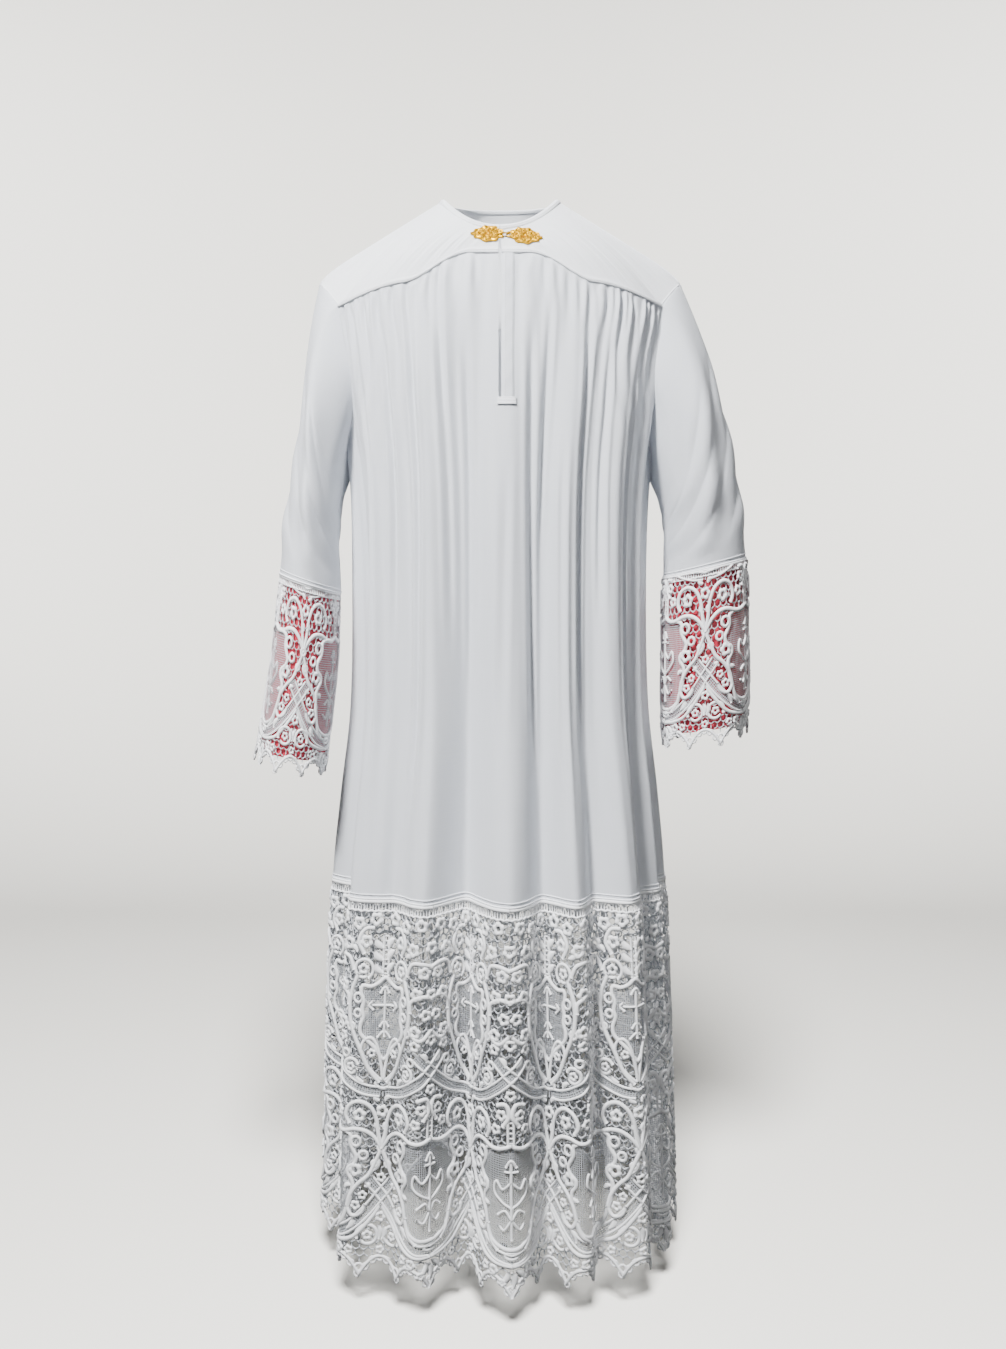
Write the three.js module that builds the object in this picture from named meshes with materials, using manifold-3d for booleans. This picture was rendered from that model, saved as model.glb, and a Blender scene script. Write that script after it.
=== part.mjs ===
// A priest's alb: a white cotton tunic, worn and hanging, with a shoulder yoke, a gathered front and
// back, a front slit closed by a gilt clasp, set-in sleeves with lace cuffs over red linings, and a
// deep lace hem. Millimetres, +Z up, the front faces -Y, the wearer's left is +X. The origin is the
// middle of the neck opening, level with the neck ends of the shoulder seams, where the wearer
// carries it. A "drop" is a distance below that level.
import * as THREE from "three";
import { mergeVertices } from "three/addons/utils/BufferGeometryUtils.js";
import Module from "manifold-3d";

const wasm = await Module();
wasm.setup();

// Cloth and seams
const COTTON_WALL = 1.4;
const LACE_WALL = 2;
const LINING_WALL = 1;
const PLACKET_WALL = 1.1;
const SEAM_GAP = 0.3;
const ARMHOLE_GAP = 0.5;
const SEAM_DEG = 0.04; // half of the gap at a side seam, round the body

// Body
const SQUARENESS = 0.85; // exponent of the rings: 1 is an ellipse, less is boxier
const UNDERARM_DROP = 375;
const LACE_DROP = 922; // seam between the cotton and the hem lace
const HEM_DROP = 1396; // the hem between two points of lace
const TORSO = [
  { drop: 60, half: 220, front: 86, back: 92 },
  { drop: 91, half: 222, front: 104, back: 100 },
  { drop: 150, half: 226, front: 117, back: 112 },
  { drop: 250, half: 217, front: 128, back: 118 },
  { drop: 375, half: 201, front: 133, back: 120 },
  { drop: 520, half: 197, front: 136, back: 123 },
  { drop: 680, half: 199, front: 143, back: 130 },
  { drop: 800, half: 211, front: 154, back: 141 },
  { drop: 922, half: 222, front: 166, back: 154 },
  { drop: 1120, half: 231, front: 178, back: 168 },
  { drop: 1430, half: 241, front: 190, back: 184 },
];

// The long folds: degrees round from the front middle towards the wearer's left, and how far each
// crest or hollow stands out at the hem
const FOLDS = [
  { deg: -90, reach: 13 },
  { deg: -70, reach: -38 },
  { deg: -51, reach: 22 },
  { deg: -34, reach: -5 },
  { deg: -22, reach: 15 },
  { deg: -10, reach: -50 },
  { deg: 2, reach: 20 },
  { deg: 12.5, reach: -33 },
  { deg: 22, reach: 14 },
  { deg: 31, reach: -20 },
  { deg: 44, reach: 20 },
  { deg: 59, reach: -10 },
  { deg: 68, reach: 6 },
  { deg: 78, reach: -22 },
  { deg: 91, reach: 10 },
  { deg: 105, reach: -24 },
  { deg: 119, reach: 18 },
  { deg: 133, reach: -27 },
  { deg: 147, reach: 17 },
  { deg: 160, reach: -30 },
  { deg: 173, reach: 20 },
  { deg: 185, reach: -24 },
  { deg: 198, reach: 19 },
  { deg: 212, reach: -31 },
  { deg: 227, reach: 17 },
  { deg: 241, reach: -22 },
  { deg: 255, reach: 14 },
  { deg: 270, reach: 13 },
];
const FOLD_GROWTH = [
  { drop: 90, share: 0 },
  { drop: 150, share: 0 },
  { drop: 260, share: 0.24 },
  { drop: 375, share: 0.36 },
  { drop: 680, share: 0.6 },
  { drop: 922, share: 0.84 },
  { drop: 1430, share: 1 },
];

// Gathers where the body is sewn to the yoke
const GATHER_REACH = 3;
const GATHER_FADE = 130;
const GATHER_RISE = 26;
const ARMHOLE_DEG = 68;
const ARMHOLE_HOLLOW = 7; // degrees by which the armhole cuts in across the chest
const UNDERARM_DOWN = 0.2933; // the underarm as a share of the way from yoke to lace
const FRONT_ROWS = [0, 0.03, 0.09, 0.19, UNDERARM_DOWN, 0.45, 0.63, 0.81, 1];
const BACK_ROWS = [0, 0.04, 0.11, UNDERARM_DOWN, 0.45, 0.63, 0.81, 1];
const FRONT = { sign: 1, gathers: 18, columns: 72, rows: FRONT_ROWS };
const BACK = { sign: -1, gathers: 14, columns: 56, rows: BACK_ROWS };
const PLACKET_DOWN = 0.231;
const FRONT_YOKE_DROPS = { middle: 91, side: 127, corner: 148 }; // where the front yoke's seam runs
const BACK_YOKE_DROP = 148;
const SLIT = { drop: 283, wide: 2 };

// Neck and shoulders
const NECK = { half: 76, front: 88, back: 76, frontDrop: 54, backDrop: -8 };
const SHOULDER_TIP = { x: 250, drop: 105 };
const YOKE_BULGE = 12;
const YOKE_STEPS = 3;
const YOKE_CORNER_DEG = 62; // the place on the neck that faces the yoke's corner
const YOKE_LEAN = 64; // how far the yoke leans back from level under the clasp
const ARMHOLE_STEPS = 3; // of the yoke's edge between its corner and the shoulder's tip

// Sleeves, each as rings between an outer and an inner line, seen from the front. depth is half of the
// ring's width front to back, and y where its middle is.
const RIGHT_SLEEVE = [
  { outX: 250, outDrop: 105, inX: 202, inDrop: 376, depth: 70, y: 0 },
  { outX: 256, outDrop: 165, inX: 214, inDrop: 398, depth: 75, y: -3 },
  { outX: 263, outDrop: 245, inX: 217, inDrop: 416, depth: 79, y: -8 },
  { outX: 271, outDrop: 320, inX: 218, inDrop: 436, depth: 81, y: -13 },
  { outX: 281, outDrop: 385, inX: 219, inDrop: 462, depth: 79, y: -18 },
  { outX: 290, outDrop: 445, inX: 218, inDrop: 494, depth: 77, y: -22 },
  { outX: 297, outDrop: 499, inX: 217, inDrop: 526, depth: 75, y: -26 },
  { outX: 309, outDrop: 591, inX: 219, inDrop: 612, depth: 73, y: -32 },
  { outX: 321, outDrop: 673, inX: 228, inDrop: 698, depth: 71, y: -38 },
  { outX: 333, outDrop: 752, inX: 237, inDrop: 772, depth: 70, y: -43 },
];
const LEFT_SLEEVE = [
  { outX: 250, outDrop: 105, inX: 202, inDrop: 376, depth: 70, y: 0 },
  { outX: 266, outDrop: 160, inX: 215, inDrop: 396, depth: 75, y: 0 },
  { outX: 288, outDrop: 230, inX: 220, inDrop: 412, depth: 80, y: 1 },
  { outX: 306, outDrop: 300, inX: 223, inDrop: 430, depth: 82, y: 2 },
  { outX: 320, outDrop: 366, inX: 225, inDrop: 450, depth: 80, y: 3 },
  { outX: 330, outDrop: 426, inX: 226, inDrop: 476, depth: 77, y: 4 },
  { outX: 337, outDrop: 478, inX: 226, inDrop: 505, depth: 74, y: 5 },
  { outX: 342, outDrop: 563, inX: 225, inDrop: 588, depth: 73, y: 6 },
  { outX: 344, outDrop: 646, inX: 226, inDrop: 668, depth: 71, y: 7 },
  { outX: 341, outDrop: 722, inX: 228, inDrop: 742, depth: 70, y: 8 },
];
const CUFF_SEAM_RING = 6; // row of the sleeve tables where the cotton ends and the lace begins
const CUFF_EDGE_RING = 9;
const SLEEVE_STEPS = 7;
const SLEEVE_FOLDS = { waves: 5, reach: 4.5 };
const CUFF_FOLDS = { waves: 4, reach: 2.5 };
const CUFF_COLUMNS = 36;
const CUFF_STEPS = 3;
const LINING_COLUMNS = 24;
const LINING_STEPS = 3;
const LINING_CLEARANCE = 1.2;
const LINING_TOP = 6;
const SLEEVE_PARTING = 0.25; // half of the gap where a sleeve's two halves meet
const CUFF_PARTING = 0.0004; // half of the gap where a cuff's two halves meet, as a share of its ring
const LINING_RISE = 9; // the lining stops this far above the lace's hollows

// Lace: its repeat, its edge and the larger gaps of half a repeat, measured across from the middle of
// the upper medallion and down from the lace's seam
const HEM_REPEATS = 11;
const CUFF_REPEATS = 3;
const CUFF_PATTERN_TOP = 240; // the cuffs show the repeat from here down
const HEM_LACE_COLUMNS = 99; // all the way round, three to a scallop
const HEM_LACE_ROWS = [0, 0.33, 0.68, 1];
const HEM_PARTING = 0.01; // half of the gap at a side seam, in columns
const RING_SPACING = 60; // the levels at which the folded ring's length is measured
const SCALLOPS = { perRepeat: 3, depth: 26 };
const CUFF_SCALLOPS = { perRepeat: 3, depth: 16 };
const REPEAT_WIDTH = 160;
const HEM_SHIFT = -REPEAT_WIDTH / 10; // how far the repeats stand from the wearer's right side seam
const CUFF_SHIFT = -REPEAT_WIDTH / 3; // and from a cuff's outer line
const GAP_TOOL_REACH = 6;
const GAPS = [
  { across: 38, down: 86, wide: 10, tall: 12 },
  { across: 12, down: 94, wide: 7, tall: 12 },
  { across: 38, down: 244, wide: 9, tall: 10 },
  { across: 14, down: 286, wide: 8, tall: 12 },
  { across: 26, down: 394, wide: 8, tall: 12 },
];

// Clasp
const LEAF = { long: 40, tall: 21, thick: 2, dome: 2.2, points: 20, rings: 3 };
const RIGHT_LEAF = { x: -16, drop: 67, tilt: 0 };
const LEFT_LEAF = { x: 33, drop: 70, tilt: -7 };
const CLASP_LIFT = 0.5;
const EYE = { x: 11.8, drop: 68, radius: 3, wire: 0.8 };

const COLOURS = {
  cotton: { color: 0xf1f3f6, roughness: 0.85, metalness: 0 },
  lace: { color: 0xf5f6f8, roughness: 0.9, metalness: 0 },
  lining: { color: 0x8c1226, roughness: 0.5, metalness: 0 },
  gilt: { color: 0xd9a520, roughness: 0.3, metalness: 1 },
};

const UP = new THREE.Vector3(0, 0, 1);
const BACKWARDS = new THREE.Vector3(0, 1, 0);
const SIDEWAYS = new THREE.Vector3(1, 0, 0);
const YOKE_OUT = UP.clone().applyAxisAngle(SIDEWAYS, THREE.MathUtils.degToRad(YOKE_LEAN));

const radians = THREE.MathUtils.degToRad;
const ease = (from, to, x) => THREE.MathUtils.smoothstep(x, Math.min(from, to), Math.max(from, to));
const mix = THREE.MathUtils.lerp;
const vector = (x, y, z) => new THREE.Vector3(x, y, z);
const signedPower = (value, power) => Math.sign(value) * Math.abs(value) ** power;

// Reads a column of a table at x, smoothly between its rows, which are in order of their first column.
function read(table, byColumn, column, x) {
  const last = table.length - 1;
  let i = 0;
  while (i < last - 1 && table[i + 1][byColumn] < x) i++;
  const slope = (k) => {
    const [a, b] = [table[Math.max(k - 1, 0)], table[Math.min(k + 1, last)]];
    return (b[column] - a[column]) / (b[byColumn] - a[byColumn]);
  };
  const [low, high] = [table[i], table[i + 1]];
  const span = high[byColumn] - low[byColumn];
  const t = THREE.MathUtils.clamp((x - low[byColumn]) / span, 0, 1);
  const rest = 1 - t;
  return (
    (1 + 2 * t) * rest * rest * low[column] +
    t * rest * rest * span * slope(i) +
    t * t * (3 - 2 * t) * high[column] -
    t * t * rest * span * slope(i + 1)
  );
}

// How far the long folds stand out at an angle, on waves between their crests and hollows.
function foldReach(deg) {
  const turn = THREE.MathUtils.euclideanModulo(deg + 90, 360) - 90;
  let i = 0;
  while (i < FOLDS.length - 2 && FOLDS[i + 1].deg < turn) i++;
  const [low, high] = [FOLDS[i], FOLDS[i + 1]];
  return mix(low.reach, high.reach, ease(low.deg, high.deg, turn));
}

// A point of the body's outer surface, moved out by extra.
function bodyPoint(drop, deg, extra = 0) {
  const [s, c] = [Math.sin(radians(deg)), Math.cos(radians(deg))];
  const half = read(TORSO, "drop", "half", drop);
  const depth = read(TORSO, "drop", c > 0 ? "front" : "back", drop);
  const out = vector(s / half, -c / depth, 0).normalize();
  const reach = foldReach(deg) * read(FOLD_GROWTH, "drop", "share", drop) + extra;
  const base = vector(half * signedPower(s, SQUARENESS), -depth * signedPower(c, SQUARENESS), -drop);
  return base.addScaledVector(out, reach);
}

// Closes a grid of outer points, rows of columns, into a wall that goes in by the thickness. A tube's
// last column joins its first. The columns run to the right and the rows down, seen from outside.
// The rim lies square to each direction that seamAxes gives, so that two walls meet edge to edge.
function clothWall(grid, thickness, seamAxes, isTube = false) {
  const [rows, columns] = [grid.length, grid[0].length];
  const at = (r, c) => {
    const column = isTube ? (c + columns) % columns : THREE.MathUtils.clamp(c, 0, columns - 1);
    return grid[THREE.MathUtils.clamp(r, 0, rows - 1)][column];
  };
  const inner = grid.map((row, r) =>
    row.map((point, c) => {
      const right = at(r, c + 1).clone().sub(at(r, c - 1));
      const down = at(r + 1, c).clone().sub(at(r - 1, c));
      const out = down.cross(right).normalize();
      const square = out.clone();
      for (const axis of seamAxes(r, c)) square.projectOnPlane(axis);
      square.normalize();
      return point.clone().addScaledVector(square, -thickness / Math.max(square.dot(out), 0.6));
    }),
  );
  const points = [...grid.flat(), ...inner.flat()];
  const far = rows * columns;
  const faces = [];
  const quad = (a, b, c, d) => faces.push(a, b, c, a, c, d);
  const index = (r, c) => r * columns + (c % columns);
  const lastColumn = isTube ? columns : columns - 1;
  for (let r = 0; r < rows - 1; r++) {
    for (let c = 0; c < lastColumn; c++) {
      const cell = [index(r, c), index(r + 1, c), index(r + 1, c + 1), index(r, c + 1)];
      quad(...cell);
      quad(...cell.map((k) => k + far).reverse());
    }
  }
  for (let c = 0; c < lastColumn; c++) {
    const [a, b] = [index(0, c), index(0, c + 1)];
    quad(a, b, b + far, a + far);
    const [d, e] = [index(rows - 1, c), index(rows - 1, c + 1)];
    quad(e, d, d + far, e + far);
  }
  for (let r = 0; r < rows - 1 && !isTube; r++) {
    const [a, b] = [index(r, 0), index(r + 1, 0)];
    quad(b, a, a + far, b + far);
    const [d, e] = [index(r, columns - 1), index(r + 1, columns - 1)];
    quad(d, e, e + far, d + far);
  }
  return geometryOf(points, faces);
}

function geometryOf(points, faces) {
  const geometry = new THREE.BufferGeometry().setFromPoints(points);
  geometry.setIndex(faces);
  return geometry;
}

function solidOf(geometry) {
  const bare = new THREE.BufferGeometry().setAttribute("position", geometry.getAttribute("position"));
  bare.setIndex(geometry.index);
  const merged = mergeVertices(bare, 1e-4);
  const vertProperties = new Float32Array(merged.attributes.position.array);
  const triVerts = new Uint32Array(merged.index.array);
  return new wasm.Manifold(new wasm.Mesh({ numProp: 3, vertProperties, triVerts }));
}

function cut(geometry, tools) {
  const left = tools.reduce((solid, tool) => solid.subtract(solidOf(tool)), solidOf(geometry));
  return geometryOfSolid(left);
}

function join(geometries) {
  const [first, ...others] = geometries.map(solidOf);
  return geometryOfSolid(others.reduce((solid, other) => solid.add(other), first));
}

function geometryOfSolid(solid) {
  const mesh = solid.getMesh();
  const geometry = new THREE.BufferGeometry();
  geometry.setAttribute("position", new THREE.BufferAttribute(mesh.vertProperties, 3));
  geometry.setIndex(new THREE.BufferAttribute(mesh.triVerts, 1));
  return geometry;
}

// Pieces that come in pairs are made on the wearer's left, and mirrored for the right.
function placed(geometry, isLeft) {
  if (isLeft) return geometry;
  const index = [...geometry.index.array].reverse();
  const other = geometry.clone().scale(-1, 1, 1);
  other.setIndex(index);
  return other;
}

// A prism between two rings of points, such as the tool that cuts one gap.
function prism(near, far) {
  const n = near.length;
  const faces = [];
  for (let k = 1; k < n - 1; k++) faces.push(0, k, k + 1, n, n + k + 1, n + k);
  for (let k = 0; k < n; k++) {
    const next = (k + 1) % n;
    faces.push(k, n + k, n + next, k, n + next, next);
  }
  return geometryOf([...near, ...far], faces);
}

// ---- Body panels -------------------------------------------------------------------------------

// share runs from -1 to 1 across a panel, towards the right seen from outside
function yokeSeamDrop(panel, share) {
  if (panel === BACK) return BACK_YOKE_DROP;
  const { middle, side, corner } = FRONT_YOKE_DROPS;
  const yokeColumns = panel.columns / 4; // from the middle to the edge, two of the panel's to each
  const drop = (column) => {
    const across = column / yokeColumns;
    return middle + (side - middle) * ease(0.1, 0.42, across) + (corner - side) * ease(0.35, 1, across);
  };
  const column = Math.abs(share) * yokeColumns;
  return mix(drop(Math.floor(column)), drop(Math.floor(column) + 1), column % 1);
}

// The degrees from a panel's middle to its edge: the armhole above, the side seam below.
function panelEdgeDeg(drop) {
  const open = ease(FRONT_YOKE_DROPS.corner, UNDERARM_DROP, drop);
  return mix(ARMHOLE_DEG, 90, open ** 1.6) - ARMHOLE_HOLLOW * Math.sin(Math.PI * open);
}

function panelPoint(panel, share, down, seamGap = 0) {
  const seam = yokeSeamDrop(panel, share) + seamGap;
  const drop = mix(seam, LACE_DROP - SEAM_GAP / 2, down);
  const below = drop - seam;
  const wave = Math.cos(Math.PI * panel.gathers * (share + 1)) * (0.75 + 0.25 * Math.sin(9 * share + 2));
  const flatBySlit = panel === FRONT ? ease(0, 0.08, Math.abs(share)) : 1;
  const rise = 0.2 + 0.8 * ease(0, GATHER_RISE, below);
  const fall = 1 - ease(GATHER_RISE, GATHER_FADE, below);
  const turn = share * (panelEdgeDeg(drop) - SEAM_DEG);
  const deg = panel.sign > 0 ? turn : 180 + turn;
  return bodyPoint(drop, deg, GATHER_REACH * wave * flatBySlit * rise * fall);
}

function panelGrid(panel) {
  return panel.rows.map((down) =>
    Array.from({ length: panel.columns + 1 }, (_, c) =>
      panelPoint(panel, (2 * c) / panel.columns - 1, down, SEAM_GAP / 2),
    ),
  );
}

const frontGrid = panelGrid(FRONT);
const backGrid = panelGrid(BACK);

function panelWall(panel) {
  const grid = panel === FRONT ? frontGrid : backGrid;
  const axes = (r, c) => {
    if (r === 0 || r === grid.length - 1) return [UP];
    const isSide = c === 0 || c === panel.columns;
    return isSide && panel.rows[r] >= UNDERARM_DOWN ? [BACKWARDS] : [];
  };
  return clothWall(grid, COTTON_WALL, axes);
}

function slitTool() {
  const tall = SLIT.drop - NECK.frontDrop + 20;
  const box = new THREE.BoxGeometry(SLIT.wide, 130, tall);
  return box.translate(0, -NECK.front - 40, tall / 2 - SLIT.drop);
}

// The placket is the strip of the front panel beside the slit, moved out.
function placket() {
  const middle = FRONT.columns / 2;
  const rows = [...FRONT.rows.filter((down) => down < PLACKET_DOWN), PLACKET_DOWN];
  const strip = rows.map((down) =>
    [middle, middle + 1].map((c) => {
      const point = panelPoint(FRONT, (2 * c) / FRONT.columns - 1, down, SEAM_GAP);
      return point.add(vector(0, -SEAM_GAP - PLACKET_WALL - 0.3, 0));
    }),
  );
  return cut(clothWall(strip, PLACKET_WALL, () => [UP]), [slitTool()]);
}

// ---- Yoke --------------------------------------------------------------------------------------

// turn is 0 at the front middle, 90 at the wearer's left shoulder and 180 at the back middle
function neckPoint(turn) {
  const [s, c] = [Math.sin(radians(turn)), Math.cos(radians(turn))];
  const depth = c > 0 ? NECK.front : NECK.back;
  const low = c > 0 ? NECK.frontDrop : NECK.backDrop;
  return vector(NECK.half * signedPower(s, 0.9), -depth * c, -low * Math.abs(c) ** 1.7);
}

// Half of the yoke's outer edge: along the panel's seam, then up the armhole to the shoulder's tip.
function yokeEdge(panel) {
  const half = panel.columns / 2;
  const edge = [];
  for (let c = 0; c <= half; c += 2) {
    const share = c / half;
    const drop = yokeSeamDrop(panel, share) - SEAM_GAP / 2;
    const turn = share * (panelEdgeDeg(drop) - SEAM_DEG);
    edge.push(bodyPoint(drop, panel.sign > 0 ? turn : 180 - turn));
  }
  const corner = edge.at(-1);
  const tip = vector(SHOULDER_TIP.x, (-panel.sign * SEAM_GAP) / 2, -SHOULDER_TIP.drop);
  for (let k = 1; k <= ARMHOLE_STEPS; k++) {
    const t = k / ARMHOLE_STEPS;
    const crown = Math.sin(Math.PI * t);
    edge.push(corner.clone().lerp(tip, t).add(vector(3 * crown, 0, 6 * crown)));
  }
  return edge;
}

function yokeGrid(panel) {
  const edge = yokeEdge(panel);
  const seamColumns = edge.length - 1 - ARMHOLE_STEPS;
  const out = vector(0.25, -0.65 * panel.sign, 0.7).normalize();
  return Array.from({ length: YOKE_STEPS + 1 }, (_, r) =>
    edge.map((outer, k) => {
      const alongSeam = Math.min(k / seamColumns, 1) * YOKE_CORNER_DEG;
      const alongArm = (Math.max(k - seamColumns, 0) / ARMHOLE_STEPS) * (90 - YOKE_CORNER_DEG);
      const turn = alongSeam + alongArm;
      const neck = neckPoint(panel.sign > 0 ? turn : 180 - turn);
      if (k === edge.length - 1) neck.y = outer.y;
      const t = r / YOKE_STEPS;
      const byMiddle = panel === FRONT ? ease(0, 40, turn) : 1;
      const bulge = YOKE_BULGE * byMiddle * (1 - ease(55, 90, turn)) * Math.sin(Math.PI * t);
      return neck.lerp(outer, t).addScaledVector(out, bulge);
    }),
  );
}

const frontYokeGrid = yokeGrid(FRONT);
const backYokeGrid = yokeGrid(BACK);

// Along the outer edge only the seam with the panel lies level; the armhole's part keeps its slope.
function yokeSeamAxes(r, fromMiddle, seamColumns, columns) {
  if (fromMiddle === columns - 1) return [BACKWARDS];
  if (r === YOKE_STEPS && fromMiddle <= seamColumns) return [UP];
  return [];
}

function frontYoke(isLeft) {
  const columns = frontYokeGrid[0].length;
  const seamColumns = columns - 1 - ARMHOLE_STEPS;
  const axes = (r, c) =>
    c === 0 && r < YOKE_STEPS ? [SIDEWAYS] : yokeSeamAxes(r, c, seamColumns, columns);
  return placed(clothWall(frontYokeGrid, COTTON_WALL, axes), isLeft);
}

function backYoke() {
  const half = backYokeGrid[0].length;
  const grid = backYokeGrid.map((row) => {
    const leftHalf = [...row].reverse();
    const rightHalf = row.slice(1).map((point) => vector(-point.x, point.y, point.z));
    return [...leftHalf, ...rightHalf];
  });
  const axes = (r, c) => yokeSeamAxes(r, Math.abs(c - (half - 1)), half - 1 - ARMHOLE_STEPS, half);
  return clothWall(grid, COTTON_WALL, axes);
}

// ---- Sleeves and cuffs -------------------------------------------------------------------------

// The armhole's loop from the shoulder's tip down the back and up the front, as if on the left.
function armholeLoop(isLeft) {
  const toLeft = (point) => (isLeft ? point.clone() : vector(-point.x, point.y, point.z));
  const edgeOf = (panel, grid, isLast) =>
    grid
      .filter((_, r) => panel.rows[r] <= UNDERARM_DOWN)
      .map((row) => toLeft(isLast ? row.at(-1) : row[0]));
  const backEdge = edgeOf(BACK, backGrid, !isLeft);
  const frontEdge = edgeOf(FRONT, frontGrid, isLeft);
  const yokeBack = backYokeGrid.at(-1).slice(-ARMHOLE_STEPS).reverse();
  const yokeFront = frontYokeGrid.at(-1).slice(-ARMHOLE_STEPS, -1);
  const corners = [...yokeBack, ...backEdge, ...frontEdge.slice(0, -1).reverse(), ...yokeFront];
  return corners.flatMap((p, k) => [p, p.clone().lerp(corners[(k + 1) % corners.length], 0.5)]);
}

// Angles round a loop, by length, from 0 at its first point.
function turnsAlong(loop) {
  const lengths = loop.map((p, k) => p.distanceTo(loop[(k + 1) % loop.length]));
  const total = lengths.reduce((a, b) => a + b);
  let run = 0;
  return lengths.map((length) => {
    const turn = (360 * run) / total;
    run += length;
    return turn;
  });
}

function sleeveRing(table, at) {
  const rows = table.map((row, k) => ({ ...row, row: k }));
  const get = (column) => read(rows, "row", column, at);
  const outer = vector(get("outX"), 0, -get("outDrop"));
  const inner = vector(get("inX"), 0, -get("inDrop"));
  const middle = outer.clone().add(inner).multiplyScalar(0.5);
  const across = outer.clone().sub(inner).multiplyScalar(0.5);
  return { middle, across, depth: get("depth"), y: get("y") };
}

// The direction square to a sleeve's ring.
const sleeveAxis = (table, at) => sleeveRing(table, at).across.cross(BACKWARDS).normalize();

// A point of a sleeve's ring: at is a row of the table, turn 0 the outer line and 90 the back. The
// folds fade out where the cuff is sewn on, and stay shallow beside the body.
function sleevePoint(table, at, turn, inset = 0) {
  const { middle, across, depth, y } = sleeveRing(table, at);
  const [c, s] = [Math.cos(radians(turn)), Math.sin(radians(turn))];
  const folds = at < CUFF_SEAM_RING ? SLEEVE_FOLDS : CUFF_FOLDS;
  const clearOfBody = 0.5 + 0.5 * Math.min(c + 0.6, 1);
  const fade = ease(0, 2, at) * ease(0, 1.5, Math.abs(at - CUFF_SEAM_RING));
  const wave = Math.sin(radians(folds.waves * turn) + 0.8 * at);
  const fold = folds.reach * wave * clearOfBody * fade - inset;
  const point = middle.addScaledVector(across, c * (1 + fold / across.length()));
  return point.add(vector(0, y + s * (depth + fold), 0));
}

function sleeveGrid(table, isLeft) {
  const loop = armholeLoop(isLeft);
  const turns = turnsAlong(loop);
  const [above, seam] = [table[CUFF_SEAM_RING - 1], table[CUFF_SEAM_RING]];
  const last = CUFF_SEAM_RING - SEAM_GAP / (seam.outDrop - above.outDrop);
  return Array.from({ length: SLEEVE_STEPS + 1 }, (_, r) => {
    const at = (last * r) / SLEEVE_STEPS;
    return loop.map((edge, k) => {
      const start = edge.clone().add(vector(ARMHOLE_GAP, 0, 0));
      return start.lerp(sleevePoint(table, at, turns[k]), ease(0, 1.6, at));
    });
  });
}

// Half of a sleeve, from its outer line to the underarm; two of them make the tube.
function sleeveHalf(table, isLeft, isFront) {
  const backRows = BACK.rows.filter((down) => down <= UNDERARM_DOWN).length;
  const underarm = 2 * (ARMHOLE_STEPS + backRows - 1);
  const grid = sleeveGrid(table, isLeft).map((ring) => {
    const half = isFront ? [...ring.slice(underarm), ring[0]] : ring.slice(0, underarm + 1);
    const away = (edge, next) => edge.clone().lerp(next, SLEEVE_PARTING / edge.distanceTo(next));
    return [away(half[0], half[1]), ...half.slice(1, -1), away(half.at(-1), half.at(-2))];
  });
  const columns = grid[0].length - 1;
  const axes = (r, c) => [
    ...(c === 0 || c === columns ? [BACKWARDS] : []),
    ...(r === 0 ? [SIDEWAYS] : []),
    ...(r === SLEEVE_STEPS ? [sleeveAxis(table, CUFF_SEAM_RING)] : []),
  ];
  return clothWall(grid, COTTON_WALL, axes);
}

// How far a point of the scalloped edge hangs below its hollows, at a share of one repeat.
function scallop(share, { perRepeat, depth }) {
  return depth * (1 - Math.abs(Math.sin(Math.PI * perRepeat * share)) ** 0.8);
}

const laceLength = (table) => table[CUFF_EDGE_RING].outDrop - table[CUFF_SEAM_RING].outDrop;
const cuffRow = (table, down) => mix(CUFF_SEAM_RING, CUFF_EDGE_RING, down / laceLength(table));

// Half of a lace cuff; two of them make the tube.
function laceCuff(table, isFront) {
  const columns = CUFF_COLUMNS / 2;
  const from = isFront ? 0.5 : 0;
  const hollows = laceLength(table) - CUFF_SCALLOPS.depth;
  const grid = Array.from({ length: CUFF_STEPS + 1 }, (_, r) =>
    Array.from({ length: columns + 1 }, (_, c) => {
      const share = from + mix(CUFF_PARTING, 0.5 - CUFF_PARTING, c / columns);
      const end = hollows + scallop(share * CUFF_REPEATS, CUFF_SCALLOPS);
      return sleevePoint(table, cuffRow(table, mix(SEAM_GAP / 2, end, r / CUFF_STEPS)), 360 * share);
    }),
  );
  const axes = (r, c) => {
    if (c === 0 || c === columns) return [BACKWARDS];
    return r === 0 ? [sleeveAxis(table, CUFF_SEAM_RING)] : [];
  };
  const around = CUFF_REPEATS * REPEAT_WIDTH;
  const surface = (across, down) => sleevePoint(table, cuffRow(table, down), (360 * across) / around);
  const stretch = {
    repeats: CUFF_REPEATS,
    top: CUFF_PATTERN_TOP,
    shift: CUFF_SHIFT,
    from: from * around,
    to: (from + 0.5) * around,
  };
  return cut(clothWall(grid, LACE_WALL, axes), gapTools(stretch, surface));
}

function cuffLining(table) {
  const end = laceLength(table) - CUFF_SCALLOPS.depth - LINING_RISE;
  const grid = Array.from({ length: LINING_STEPS + 1 }, (_, r) =>
    Array.from({ length: LINING_COLUMNS }, (_, c) => {
      const row = cuffRow(table, mix(LINING_TOP, end, r / LINING_STEPS));
      return sleevePoint(table, row, (360 * c) / LINING_COLUMNS, LACE_WALL + LINING_CLEARANCE);
    }),
  );
  return clothWall(grid, LINING_WALL, () => [], true);
}

// ---- Gaps of the lace --------------------------------------------------------------------------

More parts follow.
